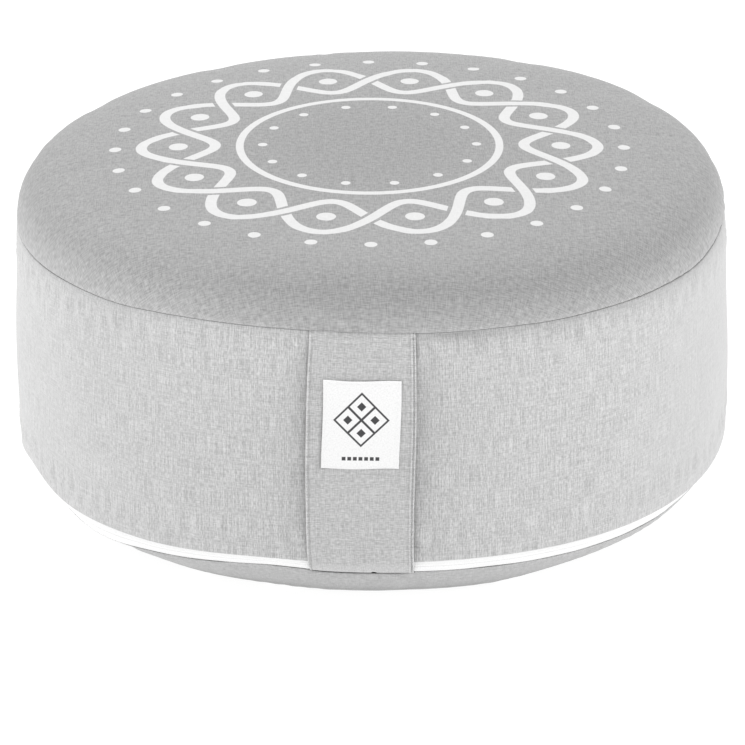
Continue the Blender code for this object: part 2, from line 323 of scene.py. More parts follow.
def settle(points):
    """Move points of the true-turned cushion to where the filled cushion has settled."""
    x, y, z = points[..., 0], points[..., 1], points[..., 2]
    radius, bearing = np.hypot(x, y), np.arctan2(x, -y)
    top_share = ramp(z, *SEAM_FADE)
    foot_share = np.clip(z / ZIP_FOOT_HEIGHT, 0.0, 1.0)
    foot_share = foot_share * ramp(radius, FLAT_RADIUS - REST_FADE, FLAT_RADIUS)
    rim_share = np.minimum(1.0, radius / SEAM_RADIUS) ** RIM_FADE
    wave = top_share * TOP_SEAM_TILT * np.sin(bearing)
    for times, to_front, to_right in SETTLE_WAVES:
        wave = wave + to_front * np.cos(times * bearing) + to_right * np.sin(times * bearing)
    lift = wave * (foot_share * (1.0 - top_share) + rim_share * top_share)
    dents = sum(depth * bump(bearing, *place) for *place, depth in BASE_DENTS)
    lift = lift + dents * ramp(radius, *DENT_REACH) * (1.0 - ramp(z, *DENT_TOP))
    lift = lift + TOP_LEAN * x * ramp(z, SEAM_HEIGHT, SEAM_HEIGHT + LEAN_SHARE * RIM_RISE)
    near_seam = hump(z, SEAM_HEIGHT, SEAM_LIFT_REACH) * ramp(radius, *SEAM_LIFT_FADE)
    for *place, rise in SEAM_LIFTS:
        lift = lift + rise * bump(bearing, *place) * near_seam
    over_foot = ramp(z, BASE_SEAM_HEIGHT, ZIP_FOOT_HEIGHT)
    over_lip = ramp(z, ZIP_FOOT_HEIGHT, BAND_FOOT_HEIGHT)
    at_edge = ramp(radius, FLAT_RADIUS, BASE_TUCK[0])
    for *place, lip_rise, zip_rise, base_rise in FOOT_LIFTS:
        rise = lip_rise * over_lip * (1.0 - ramp(z, *LIP_REACH))
        rise = rise + zip_rise * over_foot * (1.0 - over_lip) + base_rise * (1.0 - over_foot)
        lift = lift + rise * bump(bearing, *place) * at_edge
    *place, depth, rise = FOOT_TUCK
    below_zip = at_edge * (1.0 - ramp(z, ZIP_FOOT_HEIGHT - TUCK_START, ZIP_FOOT_HEIGHT))
    tucked = bump(bearing, *place, 4) * below_zip
    moved = np.array(points, float)
    moved[..., :2] *= (1.0 - depth * tucked / np.maximum(radius, 0.05))[..., None]
    moved[..., 2] += lift + rise * tucked
    return moved


# ---------------------------------------------------------------- sections (radius, height)

RIM_START = 0.7               # share of the radius from which the rim's points lie closer
RIM_POINTS = 700
SEAM_START = 0.9              # share of the radius past which the seam draws the cloth in
BAND_POINTS = 1600
LIP_ROLL = 1.3                # rolls of the other folds, as shares of the seam roll
LOWER_ROLLS = (0.6, 0.5)
BASE_ROLL = 0.6
STRAP_ROLL = 1.5


def top_section(depth, roll):
    """Top cloth from its middle to the seam, at a depth under its face.

    A crown that falls with the square of the radius, and a rim of (1 - q^15)^0.51, whose
    last millimetres roll in to the seam.
    """
    start = math.asin(RIM_START ** (RIM_SQUARENESS / 2.0))
    rim_shares = np.sin(np.linspace(start, 0.5 * math.pi, RIM_POINTS)) ** (2.0 / RIM_SQUARENESS)
    q = np.concatenate([np.linspace(0.0, RIM_START, CURVE_POINTS, endpoint=False), rim_shares])
    rise = (RIM_RISE - depth) * (1.0 - q ** RIM_SQUARENESS) ** RIM_SOFTNESS
    height = SEAM_HEIGHT + rise + CROWN * (1.0 - q * q)
    above = height - SEAM_HEIGHT
    near_seam = q > SEAM_START
    radius = q * (SEAM_RADIUS - depth)
    radius = radius - SEAM_DRAW * (1.0 - ramp(above, 0.0, SEAM_SOFTENING)) * near_seam
    radius = radius - rolled_in(above, roll) * near_seam
    return np.stack([radius, height], axis=1)


def band_radius(height):
    """Radius of the side band: a cone with a swell."""
    share = (SEAM_HEIGHT - height) / (SEAM_HEIGHT - BAND_FOOT_HEIGHT)
    radius = SEAM_RADIUS + (BAND_FOOT_RADIUS - SEAM_RADIUS) * share
    return radius + 4.0 * BAND_BULGE * share * (1.0 - share)


def band_section(roll):
    """Side band from the top seam to its lip over the zip, rolled in at both."""
    t = 0.5 - 0.5 * np.cos(np.linspace(0.0, math.pi, BAND_POINTS))
    top = SEAM_HEIGHT - TOP_SEAM_GAP
    height = top + (BAND_FOOT_HEIGHT - top) * t
    below = top - height
    radius = band_radius(height) - SEAM_DRAW * (1.0 - ramp(below, 0.0, SEAM_SOFTENING))
    radius = radius - rolled_in(below, roll) - rolled_in(height - BAND_FOOT_HEIGHT, LIP_ROLL * roll)
    return np.stack([radius, height], axis=1)


def zip_section():
    """Zip from the band's lip down and in to the lower band."""
    top = np.array([ZIP_TOP_RADIUS, BAND_FOOT_HEIGHT - SEAM_GAP])
    foot = np.array([ZIP_FOOT_RADIUS, ZIP_FOOT_HEIGHT + ZIP_GAP])
    return top + (foot - top) * np.linspace(0.0, 1.0, CURVE_POINTS)[:, None]


def lower_section(roll):
    """Lower band from the zip to the base seam."""
    top = (LOWER_TOP_RADIUS, ZIP_FOOT_HEIGHT - ZIP_GAP)
    path = curve(top, LOWER_BELLY, np.array([BASE_SEAM_RADIUS, BASE_SEAM_HEIGHT]))
    run = lengths(path)
    for share, away in zip(LOWER_ROLLS, (run, run[-1] - run)):
        path[:, 0] -= share * rolled_in(away, roll)
    return path


def base_section(roll):
    """Base from its seam to the middle of the flat."""
    start = (BASE_SEAM_RADIUS - SEAM_GAP, BASE_SEAM_HEIGHT - 0.5 * SEAM_GAP)
    rolled = curve(start, BASE_TUCK, np.array([FLAT_RADIUS, 0.0]))
    rolled[:, 1] += BASE_ROLL * rolled_in(lengths(rolled), roll)
    flat = np.linspace(FLAT_RADIUS, 0.0, CURVE_POINTS)[1:, None] * np.array([1.0, 0.0])
    return np.concatenate([rolled, flat])


def outwards(path):
    """Unit normals (-dz, dr) of a section, which point out where it runs from top to base."""
    along = np.gradient(path, axis=0)
    along /= np.linalg.norm(along, axis=1, keepdims=True) + TINY
    return np.stack([-along[:, 1], along[:, 0]], axis=1)


# ---------------------------------------------------------------- the filled cover, simulated

SIM_AROUND = 256
SIM_STEP = 0.005
SIM_FRAMES = 20
FIRM_TOP = 0.105              # inside this radius the top lies still on the filling
FIRM_BASE = 0.150             # and the base on the floor
RELIEF_SHARES = {"top": 0.5, "band": 1.0, "base": 0.8}
COVER_CLOTH = {
    "quality": 6, "mass": 0.3, "tension_stiffness": 15.0, "compression_stiffness": 15.0,
    "shear_stiffness": 5.0, "bending_stiffness": 0.6, "use_pressure": True,
}


def turned(radius, height, bearings):
    """Points (r sin b, -r cos b, height) of rows along a section at each bearing b."""
    x = radius * np.sin(bearings)[None]
    y = -radius * np.cos(bearings)[None]
    return np.stack([x, y, np.broadcast_to(height, x.shape)], axis=2)


def turned_grid(path, bearings):
    """Points of a section turned to each bearing."""
    return turned(path[:, :1], path[:, 1:], bearings)


def grid_quads(rows, columns, wrap_rows=False, wrap_columns=False):
    """Corner numbers of the quads of a grid, as (row, column) pairs flattened row by row."""
    row = np.arange(rows if wrap_rows else rows - 1)
    column = np.arange(columns if wrap_columns else columns - 1)
    row, column = np.meshgrid(row, column, indexing="ij")
    below, right = (row + 1) % rows, (column + 1) % columns
    corners = [row * columns + column, below * columns + column,
               below * columns + right, row * columns + right]
    return np.stack(corners, axis=-1).reshape(-1, 4)


def capped_faces(rings, around):
    """Quads between rings of points, and a fan of triangles to one more point at each end."""
    turn = np.arange(around)
    after, end_row = (turn + 1) % around, (rings - 1) * around
    first, last = np.full(around, rings * around), np.full(around, rings * around + 1)
    fans = [np.stack([first, turn, after], axis=1),
            np.stack([last, end_row + after, end_row + turn], axis=1)]
    return grid_quads(rings, around, wrap_columns=True), np.concatenate(fans)


def capped_points(rings):
    """Points of rings, and one more in the middle of each end ring."""
    return np.concatenate([rings.reshape(-1, 3), rings[[0, -1]].mean(axis=1)])


def new_mesh(name, points, quads, triangles=np.zeros((0, 3), int)):
    """Mesh from arrays of points, quads and triangles."""
    mesh = bpy.data.meshes.new(name)
    mesh.vertices.add(len(points))
    mesh.vertices.foreach_set("co", np.asarray(points, np.float32).ravel())
    corners = np.concatenate([quads.ravel(), triangles.ravel()])
    mesh.loops.add(len(corners))
    mesh.loops.foreach_set("vertex_index", corners.astype(np.int32))
    sizes = np.concatenate([np.full(len(quads), 4), np.full(len(triangles), 3)])
    mesh.polygons.add(len(sizes))
    starts = np.concatenate([[0], np.cumsum(sizes)[:-1]])
    mesh.polygons.foreach_set("loop_start", starts.astype(np.int32))
    mesh.update(calc_edges=True)
    mesh.validate()
    return mesh


def new_object(name, data):
    """Object in the scene's own collection."""
    made = bpy.data.objects.new(name, data)
    bpy.context.scene.collection.objects.link(made)
    return made


def inflate(rings, held, settings):
    """Blow up a closed cover of rings with Blender's cloth, and return the moved rings.

    The rings in held are pinned. The cloth is a little larger than the form, so the pressure
    gathers it beside the seams.
    """
    points = capped_points(rings)
    mesh = new_mesh("cover", points, *capped_faces(*rings.shape[:2]))
    cover = new_object("cover", mesh)
    pins = cover.vertex_groups.new(name="held")
    ends = [len(points) - 2, len(points) - 1]
    pinned = np.concatenate([np.flatnonzero(np.repeat(held, rings.shape[1])), ends])
    pins.add(pinned.tolist(), 1.0, "REPLACE")
    modifier = cover.modifiers.new("Cloth", "CLOTH")
    modifier.collision_settings.use_self_collision = False
    cloth = modifier.settings
    for key, value in COVER_CLOTH.items():
        setattr(cloth, key, value)
    cloth.shrink_min = -settings.slack
    cloth.uniform_pressure_force = settings.pressure
    cloth.vertex_group_mass = pins.name
    cloth.effector_weights.gravity = 0.0
    scene = bpy.context.scene
    for number in range(1, SIM_FRAMES + 1):
        scene.frame_set(number)
    shaped = cover.evaluated_get(bpy.context.evaluated_depsgraph_get()).data
    moved = np.empty(len(points) * 3, np.float32)
    shaped.vertices.foreach_get("co", moved)
    bpy.data.objects.remove(cover, do_unlink=True)
    bpy.data.meshes.remove(mesh)
    scene.frame_set(1)
    return moved.reshape(-1, 3)[:-2].reshape(rings.shape).astype(float)


@functools.cache
def simulated_relief():
    """Unevenness of the panels in metres, by panel: (distances along the section, grid).

    It is how far the blown-up cover stands out from its form, less the mean of each ring,
    so that the section keeps its true size, and scaled to the wanted height.
    """
    shape = bpy.context.scene.zafu_shape
    sections = {
        "top": top_section(0.0, shape.seam_roll),
        "band": band_section(shape.seam_roll),
        "zip": zip_section(),
        "lower": lower_section(shape.seam_roll),
        "base": base_section(shape.seam_roll),
    }
    bearings = np.linspace(-math.pi, math.pi, SIM_AROUND, endpoint=False)
    rings, held, owners = [], [], []
    for name, path in sections.items():
        first = FIRM_TOP if name == "top" else 0.0
        last = lengths(path)[-1] - (FIRM_BASE if name == "base" else 0.0)
        distances = np.linspace(first, last, max(3, round((last - first) / SIM_STEP) + 1))
        rings.extend(turned_grid(at(path, distances), bearings))
        for number, distance in enumerate(distances):
            on_edge = number in (0, len(distances) - 1)
            held.append(on_edge or name in ("zip", "lower"))
            owners.append((name, distance))
    rings = np.array(rings)
    moved = inflate(rings, np.array(held), shape)
    across = np.roll(rings, -1, axis=1) - np.roll(rings, 1, axis=1)
    normal = np.cross(np.gradient(rings, axis=0), across)
    normal /= np.linalg.norm(normal, axis=2, keepdims=True) + TINY
    outward = np.sign((normal * rings).sum())
    height = ((moved - rings) * normal).sum(axis=2) * outward
    height -= height.mean(axis=1, keepdims=True)
    found = {}
    for name, share in RELIEF_SHARES.items():
        rows = [number for number, owner in enumerate(owners) if owner[0] == name]
        grid = height[rows]
        grid = grid * shape.relief * share / max(grid.std(), TINY)
        limit = shape.relief_limit * share
        found[name] = (np.array([owners[number][1] for number in rows]),
                       limit * np.tanh(grid / limit))
    return found


def cubic_weights(t):
    """Catmull-Rom weights of the four neighbours of a point at share t."""
    return (
        -0.5 * t + t * t - 0.5 * t ** 3,
        1.0 - 2.5 * t * t + 1.5 * t ** 3,
        0.5 * t + 2.0 * t * t - 1.5 * t ** 3,
        -0.5 * t * t + 0.5 * t ** 3,
    )


def relief_of(panel, distance, bearings):
    """Simulated unevenness of a panel at distances along its section and bearings."""
    found = simulated_relief().get(panel)
    if found is None:
        return np.zeros((len(distance), len(bearings)))
    rows, grid = found
    row = np.interp(distance, rows, np.arange(len(rows)))
    column = (bearings + math.pi) / (2.0 * math.pi) * SIM_AROUND
    row_floor, column_floor = np.floor(row).astype(int), np.floor(column).astype(int)
    total = 0.0
    for row_step, row_weight in enumerate(cubic_weights(row - row_floor)):
        near_row = np.clip(row_floor + row_step - 1, 0, len(rows) - 1)
        for column_step, weight in enumerate(cubic_weights(column - column_floor)):
            near_column = (column_floor + column_step - 1) % SIM_AROUND
            picked = grid[near_row[:, None], near_column[None]]
            total = total + picked * row_weight[:, None] * weight[None]
    inside = (distance >= rows[0]) & (distance <= rows[-1])
    return total * inside[:, None]


# ---------------------------------------------------------------- panels of cloth

CLOTH_SHOWN = 0.0008          # thickness of the cloth as it shows
GATHER_REACH = 0.0032         # where the gathers beside a seam are deepest
GATHER_PATCHES = (3, 14)      # times round, from and up to, of the gathers' strong stretches
GATHER_FINE = (60, 170)       # and of their waves
GATHER_WIDE = (30, 70)
SWELL_WAVES = 14
SEAM_TUCKS = (                # bearing, half width, distance under the top seam, half height, depth
    (0.220, 0.095, 0.0022, 0.0030, 0.0024),
    (0.360, 0.050, 0.0035, 0.0030, 0.0008),
    (-0.720, 0.050, 0.0050, 0.0040, 0.0005),
    (1.050, 0.045, 0.0055, 0.0040, 0.0006),
    (2.300, 0.060, 0.0050, 0.0040, 0.0007),
    (-2.000, 0.050, 0.0050, 0.0045, 0.0006),
)
PUCKERS = (                   # bearing, distance under the top seam, half length, slant, height
    (0.185, 0.0065, 0.0050, 0.55, 0.00045),
    (0.215, 0.0050, 0.0040, 0.35, -0.00035),
    (0.250, 0.0060, 0.0060, 0.60, 0.00040),
    (0.300, 0.0048, 0.0040, 0.20, -0.00030),
    (0.335, 0.0060, 0.0050, 0.45, 0.00035),
    (-0.330, 0.0050, 0.0045, -0.40, -0.00025),
    (-0.760, 0.0060, 0.0060, -0.50, 0.00030),
    (1.060, 0.0065, 0.0060, 0.50, 0.00030),
    (2.310, 0.0060, 0.0060, 0.40, 0.00035),
    (-2.020, 0.0060, 0.0060, -0.50, 0.00035),
)
PUCKER_HALF_WIDTH = 0.0011
GATHERS = (                   # panel, its edge, seed, share of the pucker's depth
    ("top", "end", 11, 1.0),
    ("band", "start", 23, 0.25),
    ("band", "end", 28, 0.20),
    ("lower", "start", 41, 0.50),
    ("lower", "end", 46, 0.15),
    ("base", "start", 59, 0.20),
)
SEAM_CALM = 0.030             # distance from a seam over which the soft relief comes in
BAND_CALM = 0.4               # share of it that the band has at its seams
OPENING_REACH = 0.0012
BAND_SWELL = (0.00035, 23, 0.07)   # height, seed and shortest wave of the band's swell
ZIP_SWELL = (0.25, 37, 0.03)       # the zip's, its height as a share of the pucker's depth
SWELL_FADE = 0.020
TUCK_SEWN = 0.0016
STRAP_GROOVE = (0.0009, 0.0006, 0.001)   # depth, reach and side fade under the strap's foot
FINE_STEP = 0.00035           # between a panel's points beside a seam
COARSE_STEP = 0.004           # and in its middle
STRIP_BACK_ROWS = 8


def swell(bearings, distance, seed, shortest):
    """Broad unevenness: a sum of waves that run round and along a panel, with a spread of 1."""
    draw = np.random.RandomState(seed)
    total = np.zeros((len(distance), len(bearings)))
    for _ in range(SWELL_WAVES):
        times = draw.randint(3, max(4, int(2.0 * math.pi * SEAM_RADIUS / shortest)))
        along = draw.uniform(-1.0, 1.0) * 2.0 * math.pi / shortest
        turn = draw.uniform(0.0, 2.0 * math.pi)
        total += np.sin(times * bearings[None] + along * distance[:, None] + turn)
    return total * math.sqrt(2.0 / SWELL_WAVES)


def gathers(away, bearings, seed):
    """Small gathers beside a seam: short waves round it, strong in some stretches.

    They rise from the seam to GATHER_REACH and die away as (d / reach) e^(1 - d / reach).
    """
    share = away[:, None] / GATHER_REACH
    patches = 0.55 + 0.45 * smooth_noise(bearings, seed + 1, *GATHER_PATCHES)
    fine = smooth_noise(bearings, seed, *GATHER_FINE)
    fine = fine + 0.7 * smooth_noise(bearings, seed + 2, *GATHER_WIDE)
    return share * np.exp(1.0 - share) * (fine * patches)[None]


def seam_opening(away, bearings):
    """How far the cloth beside the top seam draws back from it, where the seam is strained."""
    total = sum(depth * bump(bearings, *place) for *place, depth in SEAM_OPENINGS)
    return hump(away, 0.0, OPENING_REACH)[:, None] * total[None]


def band_creases(from_start, from_end, bearings):
    """The band's broad swell, and the tucks and puckers under its top seam.

    A tuck is a bell curve round and down the band. A pucker is one along and across a line
    that slants, with the swell's fade to the power of a quarter.
    """
    rise, seed, shortest = BAND_SWELL
    calm = (ramp(from_start, 0.0, SWELL_FADE) * ramp(from_end, 0.0, SWELL_FADE))[:, None]
    height = rise * swell(bearings, from_start, seed, shortest) * calm
    sewn = ramp(from_start, 0.0, TUCK_SEWN)[:, None]
    for bearing, half_width, below, half_height, depth in SEAM_TUCKS:
        across = ((bearings - bearing) / half_width)[None]
        along = ((from_start - below) / half_height)[:, None]
        height = height - depth * np.exp(-across ** 2 - along ** 2) * sewn
    for bearing, below, half_length, slant, rise in PUCKERS:
        across = SEAM_RADIUS * (bearings - bearing)[None]
        along = (from_start - below)[:, None]
        run = along * math.cos(slant) + across * math.sin(slant)
        side = across * math.cos(slant) - along * math.sin(slant)
        shape_of = np.exp(-(run / half_length) ** 2 - (side / PUCKER_HALF_WIDTH) ** 2)
        height = height + rise * shape_of * calm ** 0.25
    return height


def strap_groove(away, bearings):
    """Groove of the lower band under the strap's foot: half a bell curve down from the zip."""
    depth, reach, fade = STRAP_GROOVE
    middle, half_width = STRAP_PLAN[0]
    off_strap = np.abs(LOWER_TOP_RADIUS * bearings - middle) - half_width
    groove = hump(away, 0.0, reach)[:, None] * (1.0 - ramp(off_strap, -fade, 0.0))
    return depth * groove


def unevenness(panel, distance, total, bearings):
    """How far a panel stands out from its section, in metres, on a grid."""
    pucker = bpy.context.scene.zafu_shape.pucker
    away = {"start": distance, "end": total - distance}
    height = relief_of(panel, distance, bearings)
    if panel == "band":
        seams = ramp(away["start"], 0.0, SEAM_CALM) * ramp(away["end"], 0.0, SEAM_CALM)
        height = height * (BAND_CALM + (1.0 - BAND_CALM) * seams)[:, None]
    if panel == "base":
        height = height * ramp(away["start"], 0.0, SEAM_CALM)[:, None]
    for owner, edge, seed, share in GATHERS:
        if owner == panel:
            height = height + share * pucker * gathers(away[edge], bearings, seed)
    if panel == "top":
        height = height - seam_opening(away["end"], bearings)
    if panel == "band":
        height = height - seam_opening(away["start"], bearings)
        height = height + band_creases(away["start"], away["end"], bearings)
    if panel == "zip":
        share, seed, shortest = ZIP_SWELL
        height = height + share * pucker * swell(bearings, distance, seed, shortest)
    if panel == "lower":
        height = height - strap_groove(away["start"], bearings)
    return height


def panel_face(path, distance, height, bearings):
    """Points of a panel at distances along its section, standing out by a grid of heights."""
    points, normals = at(path, distance), at(path, distance, outwards(path))
    normals /= np.linalg.norm(normals, axis=1, keepdims=True)
    radius = points[:, :1] + normals[:, :1] * height
    level = points[:, 1:] + normals[:, 1:] * height
    return turned(radius, level, bearings)


def flat_round(distance, bearings):
    """Flat place of a round panel's points: the distance from its middle, kept all round."""
    return turned(distance[:, None], 0.0, bearings)[..., :2]


def flat_strip(distance, bearings, radius):
    """Flat place of a band's points: the way round at its radius, and the way down."""
    around = np.broadcast_to(radius * bearings[None], (len(distance), len(bearings)))
    down = np.broadcast_to(-distance[:, None], around.shape)
    return np.stack([around, down], axis=2)


def set_flat(mesh, corners):
    """Give a mesh its flat places in metres, corner by corner."""
    layer = mesh.uv_layers.new(name="cloth")
    layer.data.foreach_set("uv", np.asarray(corners, np.float32).ravel())


def around_both(bearings):
    """Bearings with one more at the end, so that flat places run on across the join."""
    return np.append(bearings, bearings[0] + 2.0 * math.pi)


def dress(mesh, node, material):
    """Make an object of a mesh in place of a CAD node, riding on the cushion's body."""
    piece = new_object(mesh.name, mesh)
    mesh.materials.append(material)
    mesh.shade_smooth()
    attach(piece, BODY)
    if node:
        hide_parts(node)
    return piece


def round_mesh(name, rows, flat):
    """Closed mesh of rings that starts and ends in a point on the axis.

    rows is (rings, around, 3); flat is (rings, around + 1, 2).
    """
    rings, around, _ = rows.shape
    mesh = new_mesh(name, capped_points(rows), *capped_faces(rings, around))
    middle = np.zeros((around, 2))
    corners = [
        flat.reshape(-1, 2)[grid_quads(rings, around + 1)],
        np.stack([middle, flat[0, :-1], flat[0, 1:]], axis=1),
        np.stack([middle, flat[-1, 1:], flat[-1, :-1]], axis=1),
    ]
    set_flat(mesh, np.concatenate([part.reshape(-1, 2) for part in corners]))
    return mesh


def ring_mesh(name, rows, flat):
    """Closed mesh of rings whose last ring joins the first: a strip with two faces."""
    rings, around, _ = rows.shape
    quads = grid_quads(rings, around, wrap_rows=True, wrap_columns=True)
    mesh = new_mesh(name, rows.reshape(-1, 3), quads)
    flat = np.concatenate([flat, flat[:1]])
    set_flat(mesh, flat.reshape(-1, 2)[grid_quads(rings + 1, around + 1)])
    return mesh


def all_bearings():
    """Bearings of the points round each turned piece, from the back round to the back."""
    count = bpy.context.scene.zafu_shape.around
    return np.linspace(-math.pi, math.pi, count, endpoint=False)


def panel_faces(panel, path, outer_at, inner_at, profile=0.0):
    """Outer and inner points of a panel's cloth; profile is added to the outer height."""
    bearings, total = all_bearings(), lengths(path)[-1]
    height = unevenness(panel, outer_at, total, bearings) + profile
    inner_height = unevenness(panel, inner_at, total, bearings) - CLOTH_SHOWN
    return (panel_face(path, outer_at, height, bearings),
            panel_face(path, inner_at, inner_height, bearings))


def round_panel(name, panel, path, seam_first):
    """Round panel of cloth with its two faces, from a section that starts or ends at its seam.

    Its other end is on the axis, where the point is left out and the mesh is closed by a fan.
    """
    kept = slice(None, -1) if seam_first else slice(1, None)
    ends = (seam_first, not seam_first)
    outer_at = spacing(path, FINE_STEP, COARSE_STEP, *ends)[kept]
    inner_at = spacing(path, 3.0 * FINE_STEP, 2.0 * COARSE_STEP, *ends)[kept]
    outer, inner = panel_faces(panel, path, outer_at, inner_at)
    if seam_first:
        rows = np.concatenate([inner[::-1], outer])
        away = lengths(path)[-1] - np.concatenate([inner_at[::-1], outer_at])
    else:
        rows = np.concatenate([outer, inner[::-1]])
        away = np.concatenate([outer_at, inner_at[::-1]])
    rows = settle(rows)
    rows[..., 2] = np.maximum(rows[..., 2], 0.0)
    return round_mesh(name, rows, flat_round(away, around_both(all_bearings())))


def strip_panel(name, panel, path, outer_at, profile):
    """Strip of cloth round the cushion with its two faces; profile is added to the outer one."""
    inner_at = np.linspace(0.0, lengths(path)[-1], STRIP_BACK_ROWS)
    outer, inner = panel_faces(panel, path, outer_at, inner_at, profile[:, None])
    away = np.concatenate([outer_at, inner_at[::-1]])
    flat = flat_strip(away, around_both(all_bearings()), path[:, 0].mean())
    return ring_mesh(name, settle(np.concatenate([outer, inner[::-1]])), flat)


# ---------------------------------------------------------------- strap and label

STRAP_ROWS = 190
STRAP_COLUMNS = 84
EDGE_ROUND = 0.0007
STRAP_FACE = 0.0019           # thickness of the strap between its topstitched edges
STRAP_RIDGE = 0.00045         # height of the ridges beside the seams of its edges
STITCH_SINK = 0.00050         # depth of the groove that a row of stitches pulls
RIDGE_PLACES = (              # place and half width, in insets of the seam: the fold, and inside it
    (0.45, 0.40),
    (1.60, 0.40),
)
STITCH_GROOVE = 0.00030       # half width of the stitches' groove
STRAP_HOLLOW = (2.6, 0.00060, 0.2)   # place in insets, half width and share of a faint hollow
STRAP_PULLS = (0.5, 1.0)      # how hard the left and the right seam pull
STRAP_THIN = 0.35             # share of the thickness at the very ends
STRAP_FOOT_FADE = (-0.01, 0.045)
STRAP_HEAD_FADE = (-0.01, 0.035)
STRAP_NIP = (0.0065, 0.0009, 0.0009, 0.075)   # place, half width, depth and reach up the strap
STRAP_WAVES = 10
STRAP_WAVE = 0.00006          # height of the strap's slight waves
STRAP_BEAT = (0.00007, 0.004)   # height and reach of the waves between its stitches
LABEL_FACE = 0.0007
LABEL_PROUD = 0.0021
LABEL_GRID = (66, 60)         # rows and columns
LABEL_ROUND = 0.0003
LABEL_WANDER = (0.00022, 0.00030)   # how far the sides and the ends wander
LABEL_RISE = (0.00012, 0.003)   # height and reach of the lift beside its edges


def strap_plan(share, part):
    """Middle (part 0) or half width (part 1) of the strap at a share of its height."""
    table = np.array(STRAP_PLAN)[:, part]
    place = np.clip(share, 0.0, 1.0) * (len(table) - 1)
    start = np.minimum(np.floor(place).astype(int), len(table) - 2)
    total = 0.0
    for step, weight in enumerate(cubic_weights(place - start)):
        total = total + table[np.clip(start + step - 1, 0, len(table) - 1)] * weight
    return total


def strap_width(share):
    """Half width of the strap at a share of its height."""
    return strap_plan(share, 1)


def strap_section(share):
    """Radius and height of the strap's back: out over the lip, and bowed off the band."""
    height = STRAP_FOOT[1] + STRAP_HEIGHT * share
    climb = np.minimum(1.0, (height - STRAP_FOOT[1]) / STRAP_LIP_RISE)
    over_lip = 1.0 - (1.0 - np.maximum(climb, 0.0)) ** STRAP_LIP_EASE
    drawn = SEAM_DRAW * (1.0 - ramp(SEAM_HEIGHT - height, 0.0, SEAM_SOFTENING))
    roll = bpy.context.scene.zafu_shape.seam_roll
    sewn = rolled_in(STRAP_HEAD_HEIGHT - height, STRAP_ROLL * roll)
    near = band_radius(height) + STRAP_LIFT - drawn - sewn
    radius = STRAP_FOOT[0] + (near - STRAP_FOOT[0]) * over_lip
    radius = radius + STRAP_BOW * (1.0 - np.abs(2.0 * share - 1.0) ** STRAP_FULLNESS)
    return radius, height


def strap_point(across, share, proud):
    """Points on the strap: across from its middle, up its height, and proud of its back."""
    across, share, proud = np.broadcast_arrays(across, share, proud)
    step = 0.001
    ahead = strap_section(np.minimum(1.0, share + step))
    behind = strap_section(np.maximum(0.0, share - step))
    out, up = ahead[0] - behind[0], ahead[1] - behind[1]
    size = np.hypot(out, up)
    radius, height = strap_section(share)
    radius = radius + up / size * proud
    height = height - out / size * proud
    bearing = (strap_plan(share, 0) + across) / radius
    loss = STRAP_FLATNESS * (1.0 - np.abs(2.0 * share - 1.0) ** 2)
    x = radius * np.sin(bearing)
    y = -radius * np.cos(bearing) - loss * across * across / (2.0 * radius)
    return settle(np.stack([x, y, height], axis=-1))


def strap_face(across, share):
    """Height of the strap's front over its back.

    A plateau with a rounded fold along each edge, a groove where each row of stitches pulls
    it down and a ridge on each side of it, a nip at the lower end, and ends that thin out.
    """
    sewing = bpy.context.scene.zafu_sewing
    width = strap_width(share)
    height = STRAP_FACE + 0.0 * across
    place, half_width, part = STRAP_HOLLOW
    insets = (sewing.strap_left, sewing.strap_right)
    for edge, inset, pull in zip((width + across, width - across), insets, STRAP_PULLS):
        fold, inner = (hump(edge, centre * inset, wide * inset) for centre, wide in RIDGE_PLACES)
        height = height + STRAP_RIDGE * fold + pull * STRAP_RIDGE * inner
        height = height - pull * STITCH_SINK * hump(edge, inset, STITCH_GROOVE)
        height = height - part * pull * STITCH_SINK * hump(edge, place * inset, half_width)
    ends = ramp(share, *STRAP_FOOT_FADE) * ramp(1.0 - share, *STRAP_HEAD_FADE)
    place, half_width, depth, reach = STRAP_NIP
    nip = hump(across, place, half_width) * (1.0 - ramp(share, 0.0, reach))
    return height * (STRAP_THIN + (1.0 - STRAP_THIN) * ends) - depth * nip


def strap_unevenness(across, share):
    """Slight waves of the strap, a little stronger along its stitched edges."""
    sewing = bpy.context.scene.zafu_sewing
    draw = np.random.RandomState(71)
    total = 0.0 * across * share
    for _ in range(STRAP_WAVES):
        along, sideways = draw.uniform(15.0, 90.0), draw.uniform(-60.0, 60.0)
        turn = draw.uniform(0.0, 2.0 * math.pi)
        total = total + np.sin(along * share + sideways * across + turn)
    beat = 2.0 * math.pi * STRAP_HEIGHT / (2.0 * (sewing.stitch + sewing.gap))
    rise, reach = STRAP_BEAT
    near_edge = hump(strap_width(share), np.abs(across), reach)
    return total * STRAP_WAVE + rise * near_edge * np.sin(beat * share + 40.0 * across)


def rounded(edge, radius):
    """Share of the thickness left at a distance from a rounded edge: a quarter round."""
    share = np.clip(edge / radius, 0.0, 1.0)
    return np.sqrt(1.0 - (1.0 - share) ** 2)


def edge_crowded(count, crowding=0.55):
    """Shares from -1 to 1, closer together towards both edges."""
    even = np.linspace(-1.0, 1.0, count)
    return (1.0 - crowding) * even + crowding * np.sin(0.5 * math.pi * even)


